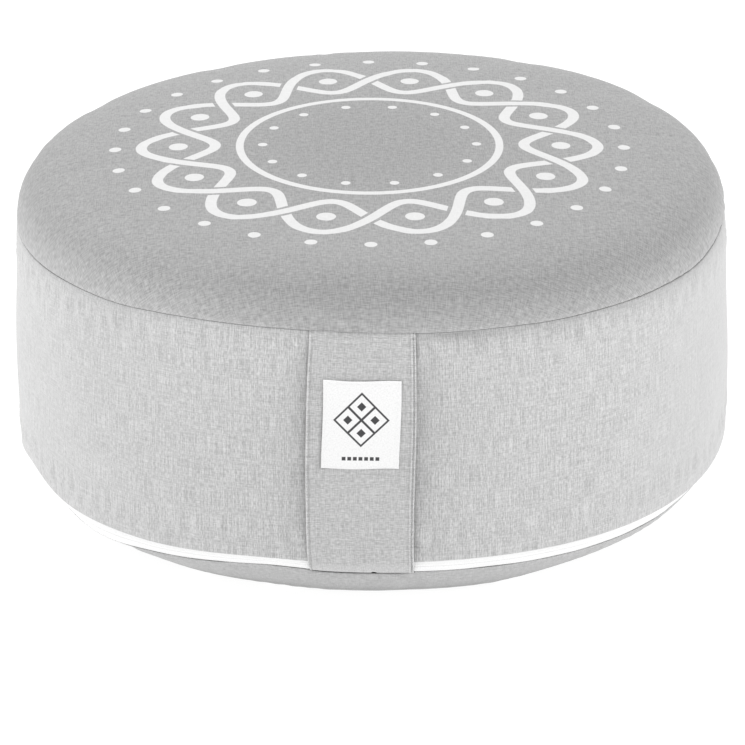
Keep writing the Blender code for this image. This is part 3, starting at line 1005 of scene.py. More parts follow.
def flat_piece_mesh(name, front, back, flat):
    """Closed mesh of a flat piece from its front and back, which meet along both long edges.

    front, back and flat are grids with rows from the top down and columns to the right.
    """
    rows, columns, _ = front.shape
    loop = 2 * columns - 2
    shell = np.concatenate([front, back[:, -2:0:-1]], axis=1)
    places = np.concatenate([flat, flat[:, -2:0:-1], flat[:, :1]], axis=1)
    quads = grid_quads(rows, loop, wrap_columns=True)
    column = np.arange(columns - 1)
    partner = (loop - column) % loop
    next_partner = (loop - column - 1) % loop
    top = np.stack([column, column + 1, next_partner, partner], axis=1)
    bottom = top[:, ::-1] + (rows - 1) * loop
    ends = np.concatenate([top[1:-1], bottom[1:-1]])
    corner_fans = [[0, 1, loop - 1], [columns - 2, columns - 1, columns]]
    foot = (rows - 1) * loop
    corner_fans += [[foot + c, foot + b, foot + a] for a, b, c in corner_fans]
    mesh = new_mesh(name, shell.reshape(-1, 3), np.concatenate([quads, ends]),
                    np.array(corner_fans))
    front_at = places[:, :loop].reshape(-1, 2)
    set_flat(mesh, np.concatenate([
        places.reshape(-1, 2)[grid_quads(rows, loop + 1)].reshape(-1, 2),
        front_at[ends.ravel()], front_at[np.array(corner_fans).ravel()]]))
    return mesh


def strap_lengths(share):
    """Length along the strap up to each share of its height."""
    fine = np.linspace(0.0, 1.0, 400)
    radius, height = strap_section(fine)
    run = lengths(np.stack([radius, height], axis=1))
    return np.interp(share, fine, run)


def strap_mesh():
    """The strap, folded double, from its head in the top seam to its foot under the zip."""
    share = np.linspace(1.0, 0.0, STRAP_ROWS)[:, None]
    side = edge_crowded(STRAP_COLUMNS)[None]
    width = strap_width(share)
    across = side * width
    edge = width - np.abs(across)
    round_share = rounded(edge, EDGE_ROUND)
    thickness = strap_face(across, share)
    wave = strap_unevenness(across, share)
    middle = 0.5 * thickness
    front = strap_point(across, share, wave + middle + 0.5 * thickness * round_share)
    back = strap_point(across, share, wave + middle - 0.5 * thickness * round_share)
    run = np.broadcast_to(strap_lengths(share), across.shape)
    even = np.broadcast_to(side * STRAP_HALF_WIDTH, across.shape)
    return flat_piece_mesh("strap_handle", front, back, np.stack([even, run], axis=2))


def on_strap(across, along, proud):
    """Points on the strap's front, from a length along the strap."""
    fine = np.linspace(0.0, 1.0, 400)
    share = np.interp(along, strap_lengths(fine), fine)
    return strap_point(across, share, proud + strap_unevenness(across, share))


def on_label(across, up, proud):
    """Points on the label: across and up from its middle, drawn askew by its lean and tilt."""
    turned_across = across + up * math.sin(LABEL_LEAN)
    turned_up = up - across * math.sin(LABEL_TILT)
    share = LABEL_SHARE + turned_up / STRAP_HEIGHT
    from_middle = LABEL_CENTRE[0] + turned_across - strap_plan(share, 0)
    return strap_point(from_middle, share, LABEL_PROUD + proud)


def label_wave(across, up):
    """How the label lifts between its stitches: most beside its edges."""
    edge = np.minimum(0.5 * LABEL_WIDTH - np.abs(across), 0.5 * LABEL_HEIGHT - np.abs(up))
    lift = np.sin(430.0 * up + 1.0) * np.sin(380.0 * across + 2.0)
    rise, reach = LABEL_RISE
    return rise * (1.0 + lift) * np.exp(-np.maximum(edge, 0.0) / reach)


def label_mesh():
    """The label: a thin woven square whose edges wander a little."""
    side = edge_crowded(LABEL_GRID[1])[None]
    rise = edge_crowded(LABEL_GRID[0])[::-1][:, None]
    across = 0.5 * LABEL_WIDTH * side + LABEL_WANDER[0] * np.sin(2.6 * rise + 0.6) * side ** 2
    up = 0.5 * LABEL_HEIGHT * rise + LABEL_WANDER[1] * np.sin(3.4 * side - 0.9) * np.abs(rise)
    across, up = np.broadcast_arrays(across, up)
    edge = 0.5 * LABEL_WIDTH * (1.0 - np.abs(side))
    end = 0.5 * LABEL_HEIGHT * (1.0 - np.abs(rise))
    round_share = rounded(edge, LABEL_ROUND) * (0.4 + 0.6 * rounded(end, LABEL_ROUND))
    wave = label_wave(across, up)
    middle = wave + 0.5 * LABEL_FACE
    front = on_label(across, up, middle + 0.5 * LABEL_FACE * round_share)
    back = on_label(across, up, middle - 0.5 * LABEL_FACE * round_share)
    return flat_piece_mesh("woven_label", front, back, np.stack([across, up], axis=2))


STITCH_RINGS = 6
STITCH_SIDES = 6


def stitch_mesh(name, rows, place, proud):
    """Joined mesh of rows of stitches, each from its start to its end in flat places.

    Along a stitch t runs from -1 to 1. The thread's radius is r (1 - t^6)^0.5, and its ends
    dip into the cloth with t^4.
    """
    starts, ends = (np.concatenate(part) for part in zip(*rows))
    radius = 0.5 * bpy.context.scene.zafu_sewing.thread
    t = np.linspace(-1.0, 1.0, STITCH_RINGS + 2)
    turn = np.linspace(0.0, 2.0 * math.pi, STITCH_SIDES, endpoint=False)
    middle, half = 0.5 * (starts + ends), 0.5 * (ends - starts)
    side = np.stack([half[:, 1], -half[:, 0]], axis=1)
    side = side / np.linalg.norm(side, axis=1, keepdims=True)

    def thread_points(times, turns):
        """Points of every thread at places along a stitch and turns round the thread."""
        thick = radius * np.sqrt(1.0 - times ** 6)[None, :, None]
        line = middle[:, None, None] + half[:, None, None] * times[None, :, None, None]
        flat = line + side[:, None, None] * (thick * np.cos(turns)[None, None])[..., None]
        up = proud + thick * np.sin(turns)[None, None] - 1.4 * radius * (times ** 4)[None, :, None]
        return place(flat[..., 0], flat[..., 1], np.broadcast_to(up, flat.shape[:-1]))

    rings = thread_points(t[1:-1], turn)
    tips = thread_points(t[[0, -1]], turn[:1])[:, :, 0]
    count = len(starts)
    size = STITCH_RINGS * STITCH_SIDES
    points = np.concatenate([rings.reshape(count, size, 3), tips], axis=1).reshape(-1, 3)
    offsets = (np.arange(count) * (size + 2))[:, None, None]
    faces = [(corners[None] + offsets).reshape(-1, corners.shape[1])
             for corners in capped_faces(STITCH_RINGS, STITCH_SIDES)]
    return new_mesh(name, points, *faces)


def row_of_stitches(start, end):
    """Starts and ends of the stitches between two flat places, as whole stitches."""
    sewing = bpy.context.scene.zafu_sewing
    start, end = np.array(start), np.array(end)
    reach = np.linalg.norm(end - start)
    count = max(1, round(reach / (sewing.stitch + sewing.gap)))
    first = np.arange(count) / count
    length = sewing.stitch / (sewing.stitch + sewing.gap) / count
    line = (end - start)[None]
    return start + line * first[:, None], start + line * (first + length)[:, None]


# ---------------------------------------------------------------- material nodes as arithmetic

THREAD_RELIEF = 0.00005       # height of the threads of a weave


def new_material(name, look):
    """A material and its surface node, whose sockets have the values of look."""
    material = bpy.data.materials.new(name)
    material.use_nodes = True
    surface = next(node for node in material.node_tree.nodes if node.type == "BSDF_PRINCIPLED")
    for key, value in look.items():
        surface.inputs[key].default_value = value
    return material, surface


class Field:
    """A number that varies over a surface. Arithmetic on it adds Math nodes."""

    def __init__(self, paint, socket):
        self.paint, self.socket = paint, socket

    def maths(self, operation, *others):
        """The result of a Math node of this number and others."""
        values = dict(enumerate((self, *others)))
        return self.paint.add("ShaderNodeMath", {"operation": operation}, values)

    def __add__(self, other):
        return self.maths("ADD", other)

    def __sub__(self, other):
        return self.maths("SUBTRACT", other)

    def __rsub__(self, other):
        return self.maths("MULTIPLY_ADD", -1.0, other)

    def __mul__(self, other):
        return self.maths("MULTIPLY", other)

    def __truediv__(self, other):
        return self.maths("DIVIDE", other)

    def __pow__(self, other):
        return self.maths("POWER", other)

    def __abs__(self):
        return self.maths("ABSOLUTE")

    def __neg__(self):
        return self.maths("MULTIPLY", -1.0)

    __radd__ = __add__
    __rmul__ = __mul__

    def above(self, other):
        """The larger of this number and another."""
        return self.maths("MAXIMUM", other)

    def below(self, other):
        """The smaller of this number and another."""
        return self.maths("MINIMUM", other)

    def part(self):
        """What is left over whole numbers."""
        return self.maths("FRACT")

    def clamped(self):
        """This number kept between 0 and 1."""
        return self.above(0.0).below(1.0)


class Paint:
    """The nodes of one material."""

    def __init__(self, name, roughness, sheen):
        look = {"Roughness": roughness, "Specular IOR Level": 0.2,
                "Sheen Weight": sheen, "Sheen Roughness": 0.6}
        self.material, self.surface = new_material(name, look)
        self.tree = self.material.node_tree

    def add(self, kind, settings, values, output=0):
        """Add a node, set it up, then give its sockets their values or links."""
        node = self.tree.nodes.new(kind)
        for name, value in settings.items():
            setattr(node, name, value)
        for key, value in values.items():
            if isinstance(value, Field):
                self.tree.links.new(value.socket, node.inputs[key])
            else:
                node.inputs[key].default_value = value
        return Field(self, node.outputs[output])

    def flat_places(self):
        """The cloth's flat places in metres: across or round, and along."""
        place = self.add("ShaderNodeUVMap", {"uv_map": "cloth"}, {})
        return (self.add("ShaderNodeSeparateXYZ", {}, {0: place}, 0),
                self.add("ShaderNodeSeparateXYZ", {}, {0: place}, 1))

    def noise(self, x, y, detail=0.0):
        """Smooth noise of a flat place, about 0.5 in its middle."""
        place = self.add("ShaderNodeCombineXYZ", {}, {0: x, 1: y})
        settings = {"noise_dimensions": "2D"}
        return self.add("ShaderNodeTexNoise", settings,
                        {"Vector": place, "Scale": 1.0, "Detail": detail, "Roughness": 0.5})

    def mixed(self, share, first, second):
        """Colour between two colours by a share."""
        return self.add("ShaderNodeMix", {"data_type": "RGBA"},
                        {0: share, 6: first, 7: second}, 2)

    def shaded(self, tone, colour, dark, light):
        """A cloth's colour by its tone, from a darker to a lighter share of the colour."""
        return self.mixed(tone, tinted(colour, dark), tinted(colour, light))

    def lit(self, colour, share):
        """A colour made lighter or darker by a share that varies."""
        return self.add("ShaderNodeMix", {"data_type": "RGBA", "blend_type": "MULTIPLY"},
                        {0: 1.0, 6: colour, 7: share}, 2)

    def finish(self, colour, height, strength=0.8, roughness=None):
        """Set what varies over the surface: colour, bump in metres, and roughness."""
        self.tree.links.new(colour.socket, self.surface.inputs["Base Color"])
        bump = self.add("ShaderNodeBump", {}, {"Height": height, "Distance": 1.0,
                                               "Strength": strength})
        self.tree.links.new(bump.socket, self.surface.inputs["Normal"])
        if roughness is not None:
            self.tree.links.new(roughness.socket, self.surface.inputs["Roughness"])
        return self.material


def tinted(colour, share):
    """A colour made lighter or darker by a share, with full alpha."""
    return tuple(min(1.0, part * share) for part in colour) + (1.0,)


def bell(value, centre, half_width):
    """Bell curve: 1 at the centre, 1/e at the half width."""
    return (-(((value - centre) / half_width) ** 2.0)).maths("EXPONENT")


def fading(distance, reach):
    """Share that is 1 at a distance of 0 and falls to 1/e at the reach."""
    return (distance.above(0.0) / -reach).maths("EXPONENT")


def eased(value, low, high):
    """Smooth step from 0 at low to 1 at high: 3t^2 - 2t^3."""
    share = ((value - low) / (high - low)).clamped()
    return share * share * (3.0 - 2.0 * share)


# ---------------------------------------------------------------- cloths

CLOUD = 0.0028                # size of the slow unevenness of a chambray's tone
STREAK_WIDTH = 1.3            # width and length of a streak of yarn, in threads
STREAK_LENGTH = 40.0


def new_cloth(name, roughness, sheen):
    """The scene's cloth colours, a new material, and the two flat places of its cloth."""
    paint = Paint(name, roughness, sheen)
    return bpy.context.scene.zafu_cloth, paint, *paint.flat_places()


def chambray(paint, x, y, pitch, warp, weft, streaks, clouds):
    """Tone (0 to 1, about 0.5) and relief (metres) of a slubby plain weave.

    Noise stretched along y for the warp and along x for the weft: the single threads are
    stretched a little, the streaks of uneven yarn forty times a thread's width. The clouds
    are slow noise of a few threads. The five last values are the pitch and the strengths.
    """
    short_warp = paint.noise(x / pitch, y / (6.5 * pitch)) - 0.5
    short_weft = paint.noise(x / (6.0 * pitch) + 31.0, y / pitch) - 0.5
    narrow, long = STREAK_WIDTH * pitch, STREAK_LENGTH * pitch
    long_warp = paint.noise(x / narrow + 3.0, y / long) - 0.5
    long_weft = paint.noise(x / long + 17.0, y / narrow) - 0.5
    cloudy = paint.noise(x / CLOUD + 11.0, y / CLOUD, 2.0) - 0.5
    threads = short_warp * warp + short_weft * weft
    slubs = (long_warp * warp + long_weft * weft) * streaks
    tone = 0.5 + threads + slubs + cloudy * clouds
    return tone.clamped(), (threads + slubs) * THREAD_RELIEF


def band_material():
    """Light grey chambray of the side band.

    It has painted shade where it turns in to the top seam and just under that seam, and a thin
    line of painted shadow beside the strap's edges, which run as (a + b s + c s^2) with s from 0
    at the strap's foot to 1, with a broad painted light further out. Two broad patches of its
    front have painted light near the top, and the weave is painted fainter towards the sides,
    where the side lamps would wash it out.
    """
    colours, paint, x, y = new_cloth("light_grey_chambray", 0.92, 0.36)
    tone, relief = chambray(paint, x, y, colours.thread_pitch, 1.08, 0.60, 0.85, 0.22)
    # Weave contrast painted fainter towards the sides, where the side lamps wash it out
    strength = 0.92 - 0.40 * eased(x, 0.11, 0.23) - 0.16 * eased(-x, 0.06, 0.20)
    tone = 0.5 + (tone - 0.5) * strength
    colour = paint.shaded(tone, colours.band, 0.71, 1.29)
    share = (y / STRAP_HEIGHT + 1.0).clamped()
    left_edge = share * share * 0.0097 - share * 0.0075 - 0.0345
    right_edge = share * 0.0042 - share * share * 0.0016 + 0.0200
    beside = (left_edge - x).above(x - right_edge)
    # Painted light within a centimetre of the strap, and a thin painted shadow along its edges
    light = 0.07 * fading(beside, 0.010) - 0.24 * fading(beside, 0.0009)
    # Two broad patches of painted light on the front, near the top
    light = light + 0.055 * fading(-y, 0.100) * bell(x, 0.10, 0.15)
    light = light + 0.100 * fading(-y, 0.060) * bell(x, -0.065, 0.055)
    # Painted shade just under the top seam, deeper right of the strap, and where the band turns in to
    # it
    near_seam = bell(y, -0.0010, 0.0075) * (0.04 + 0.09 * eased(x, 0.0, 0.05))
    light = light - 0.17 * fading(-y, 0.0026) - near_seam
    return paint.finish(paint.lit(colour, 1.0 + light), relief * strength)


def lower_material():
    """The same chambray on the lower band, cut along its length.

    It has painted light beside the zip, painted shade that grows towards the seam of the base,
    and a painted contact shadow along that seam.
    """
    colours, paint, x, y = new_cloth("light_grey_chambray_lower", 0.92, 0.25)
    tone, relief = chambray(paint, x + 0.4, y + 0.9, colours.thread_pitch, 0.55, 0.90, 0.5, 0.4)
    colour = paint.shaded(tone, colours.band, 0.76, 1.14)
    total = lengths(lower_section(bpy.context.scene.zafu_shape.seam_roll))[-1]
    # Painted shade growing downwards, and painted light just beside the zip
    shade = 0.07 * eased(-y, 0.0, total) - 0.08 * fading(-y, 0.0010)
    # Painted contact shadow along the seam of the base, near the floor
    shade = shade + 0.40 * fading(y + total, 0.0042)
    return paint.finish(paint.lit(colour, 1.0 - shade), relief)


def strap_material():
    """The same chambray cut across, so that its stronger thread lies across the strap.

    The folded edges and the ridges beside the stitching have painted highlights. It has thin
    lines of painted shade beside the ridges and along the stitches, a painted shadow round the
    label, and painted shade where it goes into the top seam.
    """
    sewing = bpy.context.scene.zafu_sewing
    colours, paint, x, y = new_cloth("light_grey_chambray_strap", 0.92, 0.36)
    tone, relief = chambray(paint, x + 0.7, y + 0.3, 1.15 * colours.thread_pitch, 0.8, 1.0, 0.6, 0.3)
    colour = paint.shaded(tone, colours.band, 0.74, 1.22)
    half, total = STRAP_HALF_WIDTH, float(strap_lengths(1.0))
    left, right = x + half, half - x
    beat = (y * (2.0 * math.pi / (sewing.stitch + sewing.gap))).maths("SINE")
    # Painted highlights on the folded edges and the ridges, and thin lines of painted shade inside
    # them
    light = 0.10 * bell(left, 0.0004, 0.0005) - 0.05 * bell(left, 0.0019, 0.0004)
    light = light + 0.14 * bell(right, 0.0003, 0.0005) + 0.20 * bell(right, 0.0021, 0.0004)
    # Painted shade along the right stitches' groove, broken stitch by stitch, and inside them
    light = light - (0.12 + 0.10 * beat) * bell(right, sewing.strap_right, 0.0003)
    light = light - 0.10 * bell(right, 0.0031, 0.0005)
    # Painted shade where the strap goes into the top seam
    light = light - 0.17 * fading(total - y, 0.0026)
    label_y = y - float(strap_lengths(LABEL_SHARE))
    label_x = x - (LABEL_CENTRE[0] - strap_plan(LABEL_SHARE, 0)) - label_y * math.sin(LABEL_LEAN)
    label_x = label_x + 0.0004
    beside = (abs(label_x) - 0.5 * LABEL_WIDTH).above(abs(label_y) - 0.5 * LABEL_HEIGHT)
    # Painted shadow round the label's edges
    light = light - 0.30 * fading(beside, 0.0005)
    return paint.finish(paint.lit(colour, 1.0 + light), relief)


def line_of(distance, width, softness=0.00025):
    """Share of a drawn line of a width along a distance of 0."""
    return (0.5 + (0.5 * width - abs(distance)) / softness).clamped()


def filled(distance, softness=0.00025):
    """Share of a filled shape where a distance is under 0."""
    return (0.5 - distance / softness).clamped()


def away_from(x, y, centre_x=0.0, centre_y=0.0):
    """Distance from a point."""
    return ((x - centre_x) ** 2.0 + (y - centre_y) ** 2.0) ** 0.5


def dot_ring(angle, radius, count, ring_radius, dot_radius):
    """Share of a ring of round dots, the first of them at angle 0."""
    off_dot = (angle * (count / (2.0 * math.pi)) + 0.5).part() - 0.5
    off_dot = off_dot * (2.0 * math.pi / count)
    along = radius * off_dot.maths("COSINE") - ring_radius
    return filled(away_from(along, radius * off_dot.maths("SINE")) - dot_radius)


BRAID_ROOM = 0.0044           # of bare cloth beside the strand that lies over the other
BRAID_DOTS = (                # setting for a ring's radius, share of it, dots a wave, share of a line
    ("braid", 1.0, 2, 0.85),
    ("reach", 1.0, 4, 0.55),
    ("reach", 0.42, 2, 0.42),
)
BRAID_RIM = (0.51, 0.7)       # radius as a share of the print's, width as a share of a line's


def braid_ring(x, y):
    """Share of print of a plain braided ring with dots, round an open middle.

    Two strands r = braid +- swing cos(n a) cross over and under by turns; the one below
    stops short of the one above. The distance to a strand is its offset in r, divided by
    (1 + (r')^2 / r^2)^0.5 for its slant.
    """
    sizes = bpy.context.scene.zafu_print
    line, waves = sizes.line, sizes.waves
    angle = y.maths("ARCTAN2", x)
    radius = away_from(x, y)
    swing = (angle * waves).maths("COSINE") * sizes.swing
    slope = (angle * waves).maths("SINE") * (sizes.swing * waves)
    slant = (1.0 + (slope / radius.above(0.01)) ** 2.0) ** 0.5
    first = (radius - sizes.braid - swing) / slant
    second = (radius - sizes.braid + swing) / slant
    first_over = slope.maths("GREATER_THAN", 0.0)
    under_second = line_of(second, line + BRAID_ROOM) * (1.0 - first_over)
    under_first = line_of(first, line + BRAID_ROOM) * first_over
    braid = (line_of(first, line) * (1.0 - under_second)).above(
        line_of(second, line) * (1.0 - under_first))
    for setting, share, times, dot_share in BRAID_DOTS:
        ring_radius = share * getattr(sizes, setting)
        dots = dot_ring(angle, radius, times * waves, ring_radius, dot_share * line)
        braid = braid.above(dots)
    rim_share, width_share = BRAID_RIM
    return braid.above(line_of(radius - rim_share * sizes.reach, width_share * line))


def top_material():
    """Mid-grey chambray with the white braided ring printed on it.

    It has painted light over its rim, with a painted highlight along the seam, more painted
    light at the left of its front, and painted shade at its middle.
    """
    colours, paint, x, y = new_cloth("mid_grey_chambray", 0.90, 0.18)
    tone, relief = chambray(paint, x, y, colours.top_pitch, 0.65, 0.80, 0.35, 0.65)
    cloth = paint.shaded(tone, colours.top, 0.74, 1.26)
    ink = paint.shaded(tone, colours.ink, 0.95, 1.04)
    share = braid_ring(x, y)
    total = lengths(top_section(0.0, bpy.context.scene.zafu_shape.seam_roll))[-1]
    to_seam = total - away_from(x, y)
    # Painted light over the rim, a painted highlight along the seam, and painted shade at the middle
    rim = 1.0 + 0.36 * (1.0 - eased(to_seam, 0.0, 0.026)) + 0.34 * fading(to_seam, 0.0020)
    rim = rim - 0.105 * (1.0 - eased(away_from(x, y), 0.02, 0.13))
    # Painted light and shade that vary round the front of the rim, lightest at the left
    side = 0.09 * bell(x, -0.13, 0.07) * (1.0 - eased(to_seam, 0.020, 0.060))
    side = side - 0.05 * bell(x, 0.11, 0.05) * (1.0 - eased(to_seam, 0.0, 0.030))
    side = side + 0.05 * bell(x, 0.0, 0.05) * (1.0 - eased(to_seam, 0.0, 0.016))
    side = side - 0.05 * bell(x, 0.0, 0.07) * bell(to_seam, 0.042, 0.016)
    rim = rim + side * (1.0 - eased(y, -0.08, 0.0))
    colour = paint.mixed(share, paint.lit(cloth, rim), ink)
    return paint.finish(colour, relief * (1.0 - 0.5 * share), roughness=0.90 - 0.12 * share)


LEAVES = 9                    # on each side of a sprig
DROP_LENGTH = 0.0105          # from the round of a sprig's teardrop to the point's middle
DROP_RADIUS = 0.0060
DROP_POINT = 0.0008
DROP_CURL = 48.0              # radians a metre, by which the point curls over
SPRIG_REACH = 0.0215


def teardrop(x, y, radius, point, length):
    """Distance to a teardrop: a round at the start and a small round at its point, joined.

    Beside the straight sides it is the distance to their line, b = (R - r) / l being its
    slope; past the ends it is the distance to the rounds.
    """
    slope = (radius - point) / length
    rise = math.sqrt(1.0 - slope * slope)
    side = abs(x)
    along = y * rise - side * slope
    round_end = away_from(side, y) - radius
    point_end = away_from(side, y, 0.0, length) - point
    flank = side * rise + y * slope - radius
    past_point = along.maths("GREATER_THAN", rise * length)
    before = along.maths("LESS_THAN", 0.0)
    beside = (1.0 - past_point) * (1.0 - before)
    return round_end * before + point_end * past_point + flank * beside


def sprig(x, y):
    """Share of print of one paisley sprig about its middle, with its point along +y.

    Above the drop's round the place is turned by an angle that grows with y to a bound,
    which curls the point over. Leaves stand round the drop between two distances from it,
    the same number on each side, slanting towards the point, and longest beside the point.
    """
    turn = (y - 0.001).above(0.0).below(0.016) * -DROP_CURL
    bent_x = x * turn.maths("COSINE") - (y - 0.001) * turn.maths("SINE")
    bent_y = x * turn.maths("SINE") + (y - 0.001) * turn.maths("COSINE") + 0.001
    outer = teardrop(bent_x, bent_y + 0.0020, DROP_RADIUS, DROP_POINT, DROP_LENGTH)
    outline = line_of(outer, 0.0015)
    core = filled(teardrop(bent_x, bent_y + 0.0022, 0.0022, 0.0005, 0.0050))
    angle = bent_x.maths("ARCTAN2", bent_y) / math.pi
    phase = (abs(angle) * LEAVES + outer * 70.0).part() - 0.5
    around = away_from(bent_x, bent_y) * (math.pi / LEAVES)
    longer = (1.0 - abs(angle) * 4.0).above(0.0) * 0.0012
    reach = (outer - 0.0047 - longer) / (longer + 0.0029)
    leaf_width = (1.0 - reach * reach).above(0.0) * 0.00115
    leaves = filled(abs(phase) * around - leaf_width) * reach.maths("LESS_THAN", 1.0)
    stem_side = abs(x - 2.2 * (y + 0.0080) * (y + 0.0080) * 10.0)
    stem_reach = abs(y + 0.0140) - 0.0055
    stem = filled((stem_side - 0.0008).above(stem_reach))
    clear = 1.0 - filled((stem_side - 0.0017).above(abs(y + 0.0140) - 0.0062))
    share = outline.above(core).above(leaves * clear).above(stem)
    return share * filled(away_from(x, y) - SPRIG_REACH)


def base_material():
    """Smooth grey cloth with a square repeat of small white paisley sprigs."""
    sizes = bpy.context.scene.zafu_print
    colours, paint, x, y = new_cloth("base_cloth_paisley", 0.86, 0.30)
    pitch = colours.thread_pitch
    threads = paint.noise(x / pitch, y / (4.0 * pitch)) + paint.noise(x / (4.0 * pitch), y / pitch)
    tone = (0.5 + (threads - 1.0) * 0.8).clamped()
    cloth = paint.shaded(tone, colours.base, 0.88, 1.12)
    turn = sizes.sprig_turn
    row_x = (x * math.cos(turn) + y * math.sin(turn)) / sizes.sprig_pitch
    row_y = (y * math.cos(turn) - x * math.sin(turn)) / sizes.sprig_pitch
    right = ((row_x + 0.36).part() - 0.5) * sizes.sprig_pitch
    down = ((row_y + 0.18).part() - 0.5) * sizes.sprig_pitch
    lean = math.radians(40.0)
    sprig_x = right * math.cos(lean) - down * math.sin(lean)
    sprig_y = right * -math.sin(lean) - down * math.cos(lean)
    share = sprig(sprig_x, sprig_y)
    colour = paint.mixed(share, cloth, tinted(colours.ink, 1.02))
    return paint.finish(colour, (threads - 1.0) * THREAD_RELIEF, 0.7)


def zip_material():
    """White zip tape: fine upright ribs over the closed coil, and a darker line at its middle."""
    colours, paint, x, y = new_cloth("white_zip_tape", 0.62, 0.10)
    threads = paint.noise(x / 0.0005, y / 0.002) - 0.5
    middle = 0.5 * lengths(zip_section())[-1]
    off_middle = abs(y + middle)
    over_coil = 1.0 - ((off_middle - 0.0026) / 0.0003).clamped()
    ribs = (x * (2.0 * math.pi / 0.0014)).maths("SINE")
    meeting = line_of(off_middle, 0.0005, 0.0004)
    tone = (0.90 + threads * 0.3 - meeting * 0.25 + ribs * over_coil * 0.04).clamped()
    colour = paint.shaded(tone, colours.tape, 0.78, 1.03)
    # Painted shadow along the tape's top edge, under the band's lip; the line where the tapes meet is
    # darker too
    colour = paint.lit(colour, 1.0 - 0.25 * fading(-y, 0.0010) - 0.14 * meeting)
    relief = ribs * over_coil * THREAD_RELIEF + threads * 0.00004
    return paint.finish(colour, relief)


def label_material():
    """White woven label with a small plain ornament of lozenges in dark thread."""
    colours, paint, x, y = new_cloth("white_woven_label", 0.68, 0.08)
    weave = paint.noise(x / 0.0004, y / 0.0012) + paint.noise(x / 0.0012 + 9.0, y / 0.0004) - 1.0
    tone = (0.8 + weave * 0.9).clamped()
    white = paint.shaded(tone, colours.label, 0.88, 1.03)
    dark = paint.shaded(tone, colours.dark, 0.7, 1.4)
    share = lozenges(x, y)
    colour = paint.mixed(share, white, dark)
    return paint.finish(colour, weave * 0.00006 + share * 0.00008)


LOZENGE = 0.0140              # from one lozenge's middle to the next, along the diagonals


def lozenges(x, y):
    """Share of dark thread: a lattice of four lozenges with a dot in each, over a dashed line."""
    up = y - 0.0032
    first, second = (x + up) / LOZENGE, (x - up) / LOZENGE
    inside = filled((abs(x) + abs(up)) / math.sqrt(2.0) - 0.5 * 2.0 ** 0.5 * LOZENGE - 0.0004)
    lattice, other = (
        line_of(((along + 0.5).part() - 0.5) * (LOZENGE / math.sqrt(2.0)), 0.0012)
        for along in (first, second))
    cell_first, cell_second = first.part() - 0.5, second.part() - 0.5
    dot = abs(cell_first).above(abs(cell_second)) * LOZENGE - 0.0024
    net = lattice.above(other).above(filled(dot)) * inside
    dash = ((x / 0.0029 + 0.5).part() - 0.5) * 0.0029
    dashes = filled((abs(dash) - 0.0010).above(abs(y + 0.0178) - 0.0010))
    dashes = dashes * filled(abs(x) - 0.0101)
    return net.above(dashes)


def thread_material(name, colour):
    """Sewing thread with a slight twist."""
    paint = Paint(name, 0.75, 0.10)
    place = paint.add("ShaderNodeTexCoord", {}, {}, 3)
    twist = paint.add("ShaderNodeTexNoise", {}, {"Vector": place, "Scale": 2500.0, "Detail": 1.0})
    shade = paint.shaded(twist, colour, 0.85, 1.12)
    return paint.finish(shade, twist * THREAD_RELIEF, 0.6)


# ---------------------------------------------------------------- operators, one for each piece

CROWN_DEPTH = 0.0045          # of the filled body under the top's face
CROWN_EVERY = 20
CROWN_MIDDLE = 0.004
CROWN_ABOVE = 0.001           # over the seam, where the crown's last ring lies
LEDGE_RADIUS = 0.1915
BODY_FOOT = (                 # radius and height of the filled body inside the lower panels
    (0.1955, 0.0236), (0.1889, 0.0150), (0.1870, 0.0105), (0.1790, 0.0068), (0.1700, 0.0034),
    (0.1600, 0.0022), (0.1200, 0.0022), (0.0600, 0.0022), (0.0040, 0.0022),
)
COIL = (0.00045, 0.0024, 0.0032)   # height of the zip's coil, and where its side falls
COIL_GROOVE = 0.00035         # depth and half width of the groove along its middle
LOWER_STEPS = (0.0003, 0.0012)


def dress_round(mesh, node, material):
    """Dress a round panel, whose flat radius is the length of its section."""
    piece = dress(mesh, node, material)


def dress_strip(mesh, path, node, material):
    """Dress a strip, whose flat size is its mean way round by the length of its section."""
    piece = dress(mesh, node, material)
    around, total = 2.0 * math.pi * path[:, 0].mean(), lengths(path)[-1]


class ZAFU_OT_body(bpy.types.Operator):
    """The filled body, whose side is the band of light chambray"""
    bl_idname = "zafu.body"
    bl_label = "Filled body and side band"

    def execute(self, context):
        shape = context.scene.zafu_shape
        bearings = all_bearings()
        crown = top_section(CROWN_DEPTH, 0.0)[::CROWN_EVERY]
        crown = crown[(crown[:, 0] > CROWN_MIDDLE) & (crown[:, 1] > SEAM_HEIGHT + CROWN_ABOVE)]
        path = band_section(shape.seam_roll)
        total = lengths(path)[-1]
        distance = spacing(path, FINE_STEP, COARSE_STEP)
        height = unevenness("band", distance, total, bearings)
        band_rows = panel_face(path, distance, height, bearings)
        upper = np.append(crown, [(LEDGE_RADIUS, SEAM_HEIGHT - TOP_SEAM_GAP)], axis=0)
        upper_rows = turned_grid(upper, bearings)
        foot_rows = turned_grid(np.array(BODY_FOOT), bearings)
        rows = settle(np.concatenate([upper_rows, band_rows, foot_rows]))
        above = -np.linspace(0.24, 0.002, len(upper_rows))
        under = total + np.linspace(0.004, 0.2, len(foot_rows))
        away = np.concatenate([above, distance, under])
        flat = flat_strip(away, around_both(bearings), SEAM_RADIUS)
        mesh = round_mesh("filled_body", rows, flat)
        piece = dress(mesh, "side_band", band_material())
        return {"FINISHED"}


class ZAFU_OT_top(bpy.types.Operator):
    """The printed round top, rolled over its rim to the seam"""
    bl_idname = "zafu.top"
    bl_label = "Printed top"

    def execute(self, context):
        path = top_section(0.0, context.scene.zafu_shape.seam_roll)
        mesh = round_panel("printed_top", "top", path, False)
        dress_round(mesh, "top_panel", top_material())
        return {"FINISHED"}


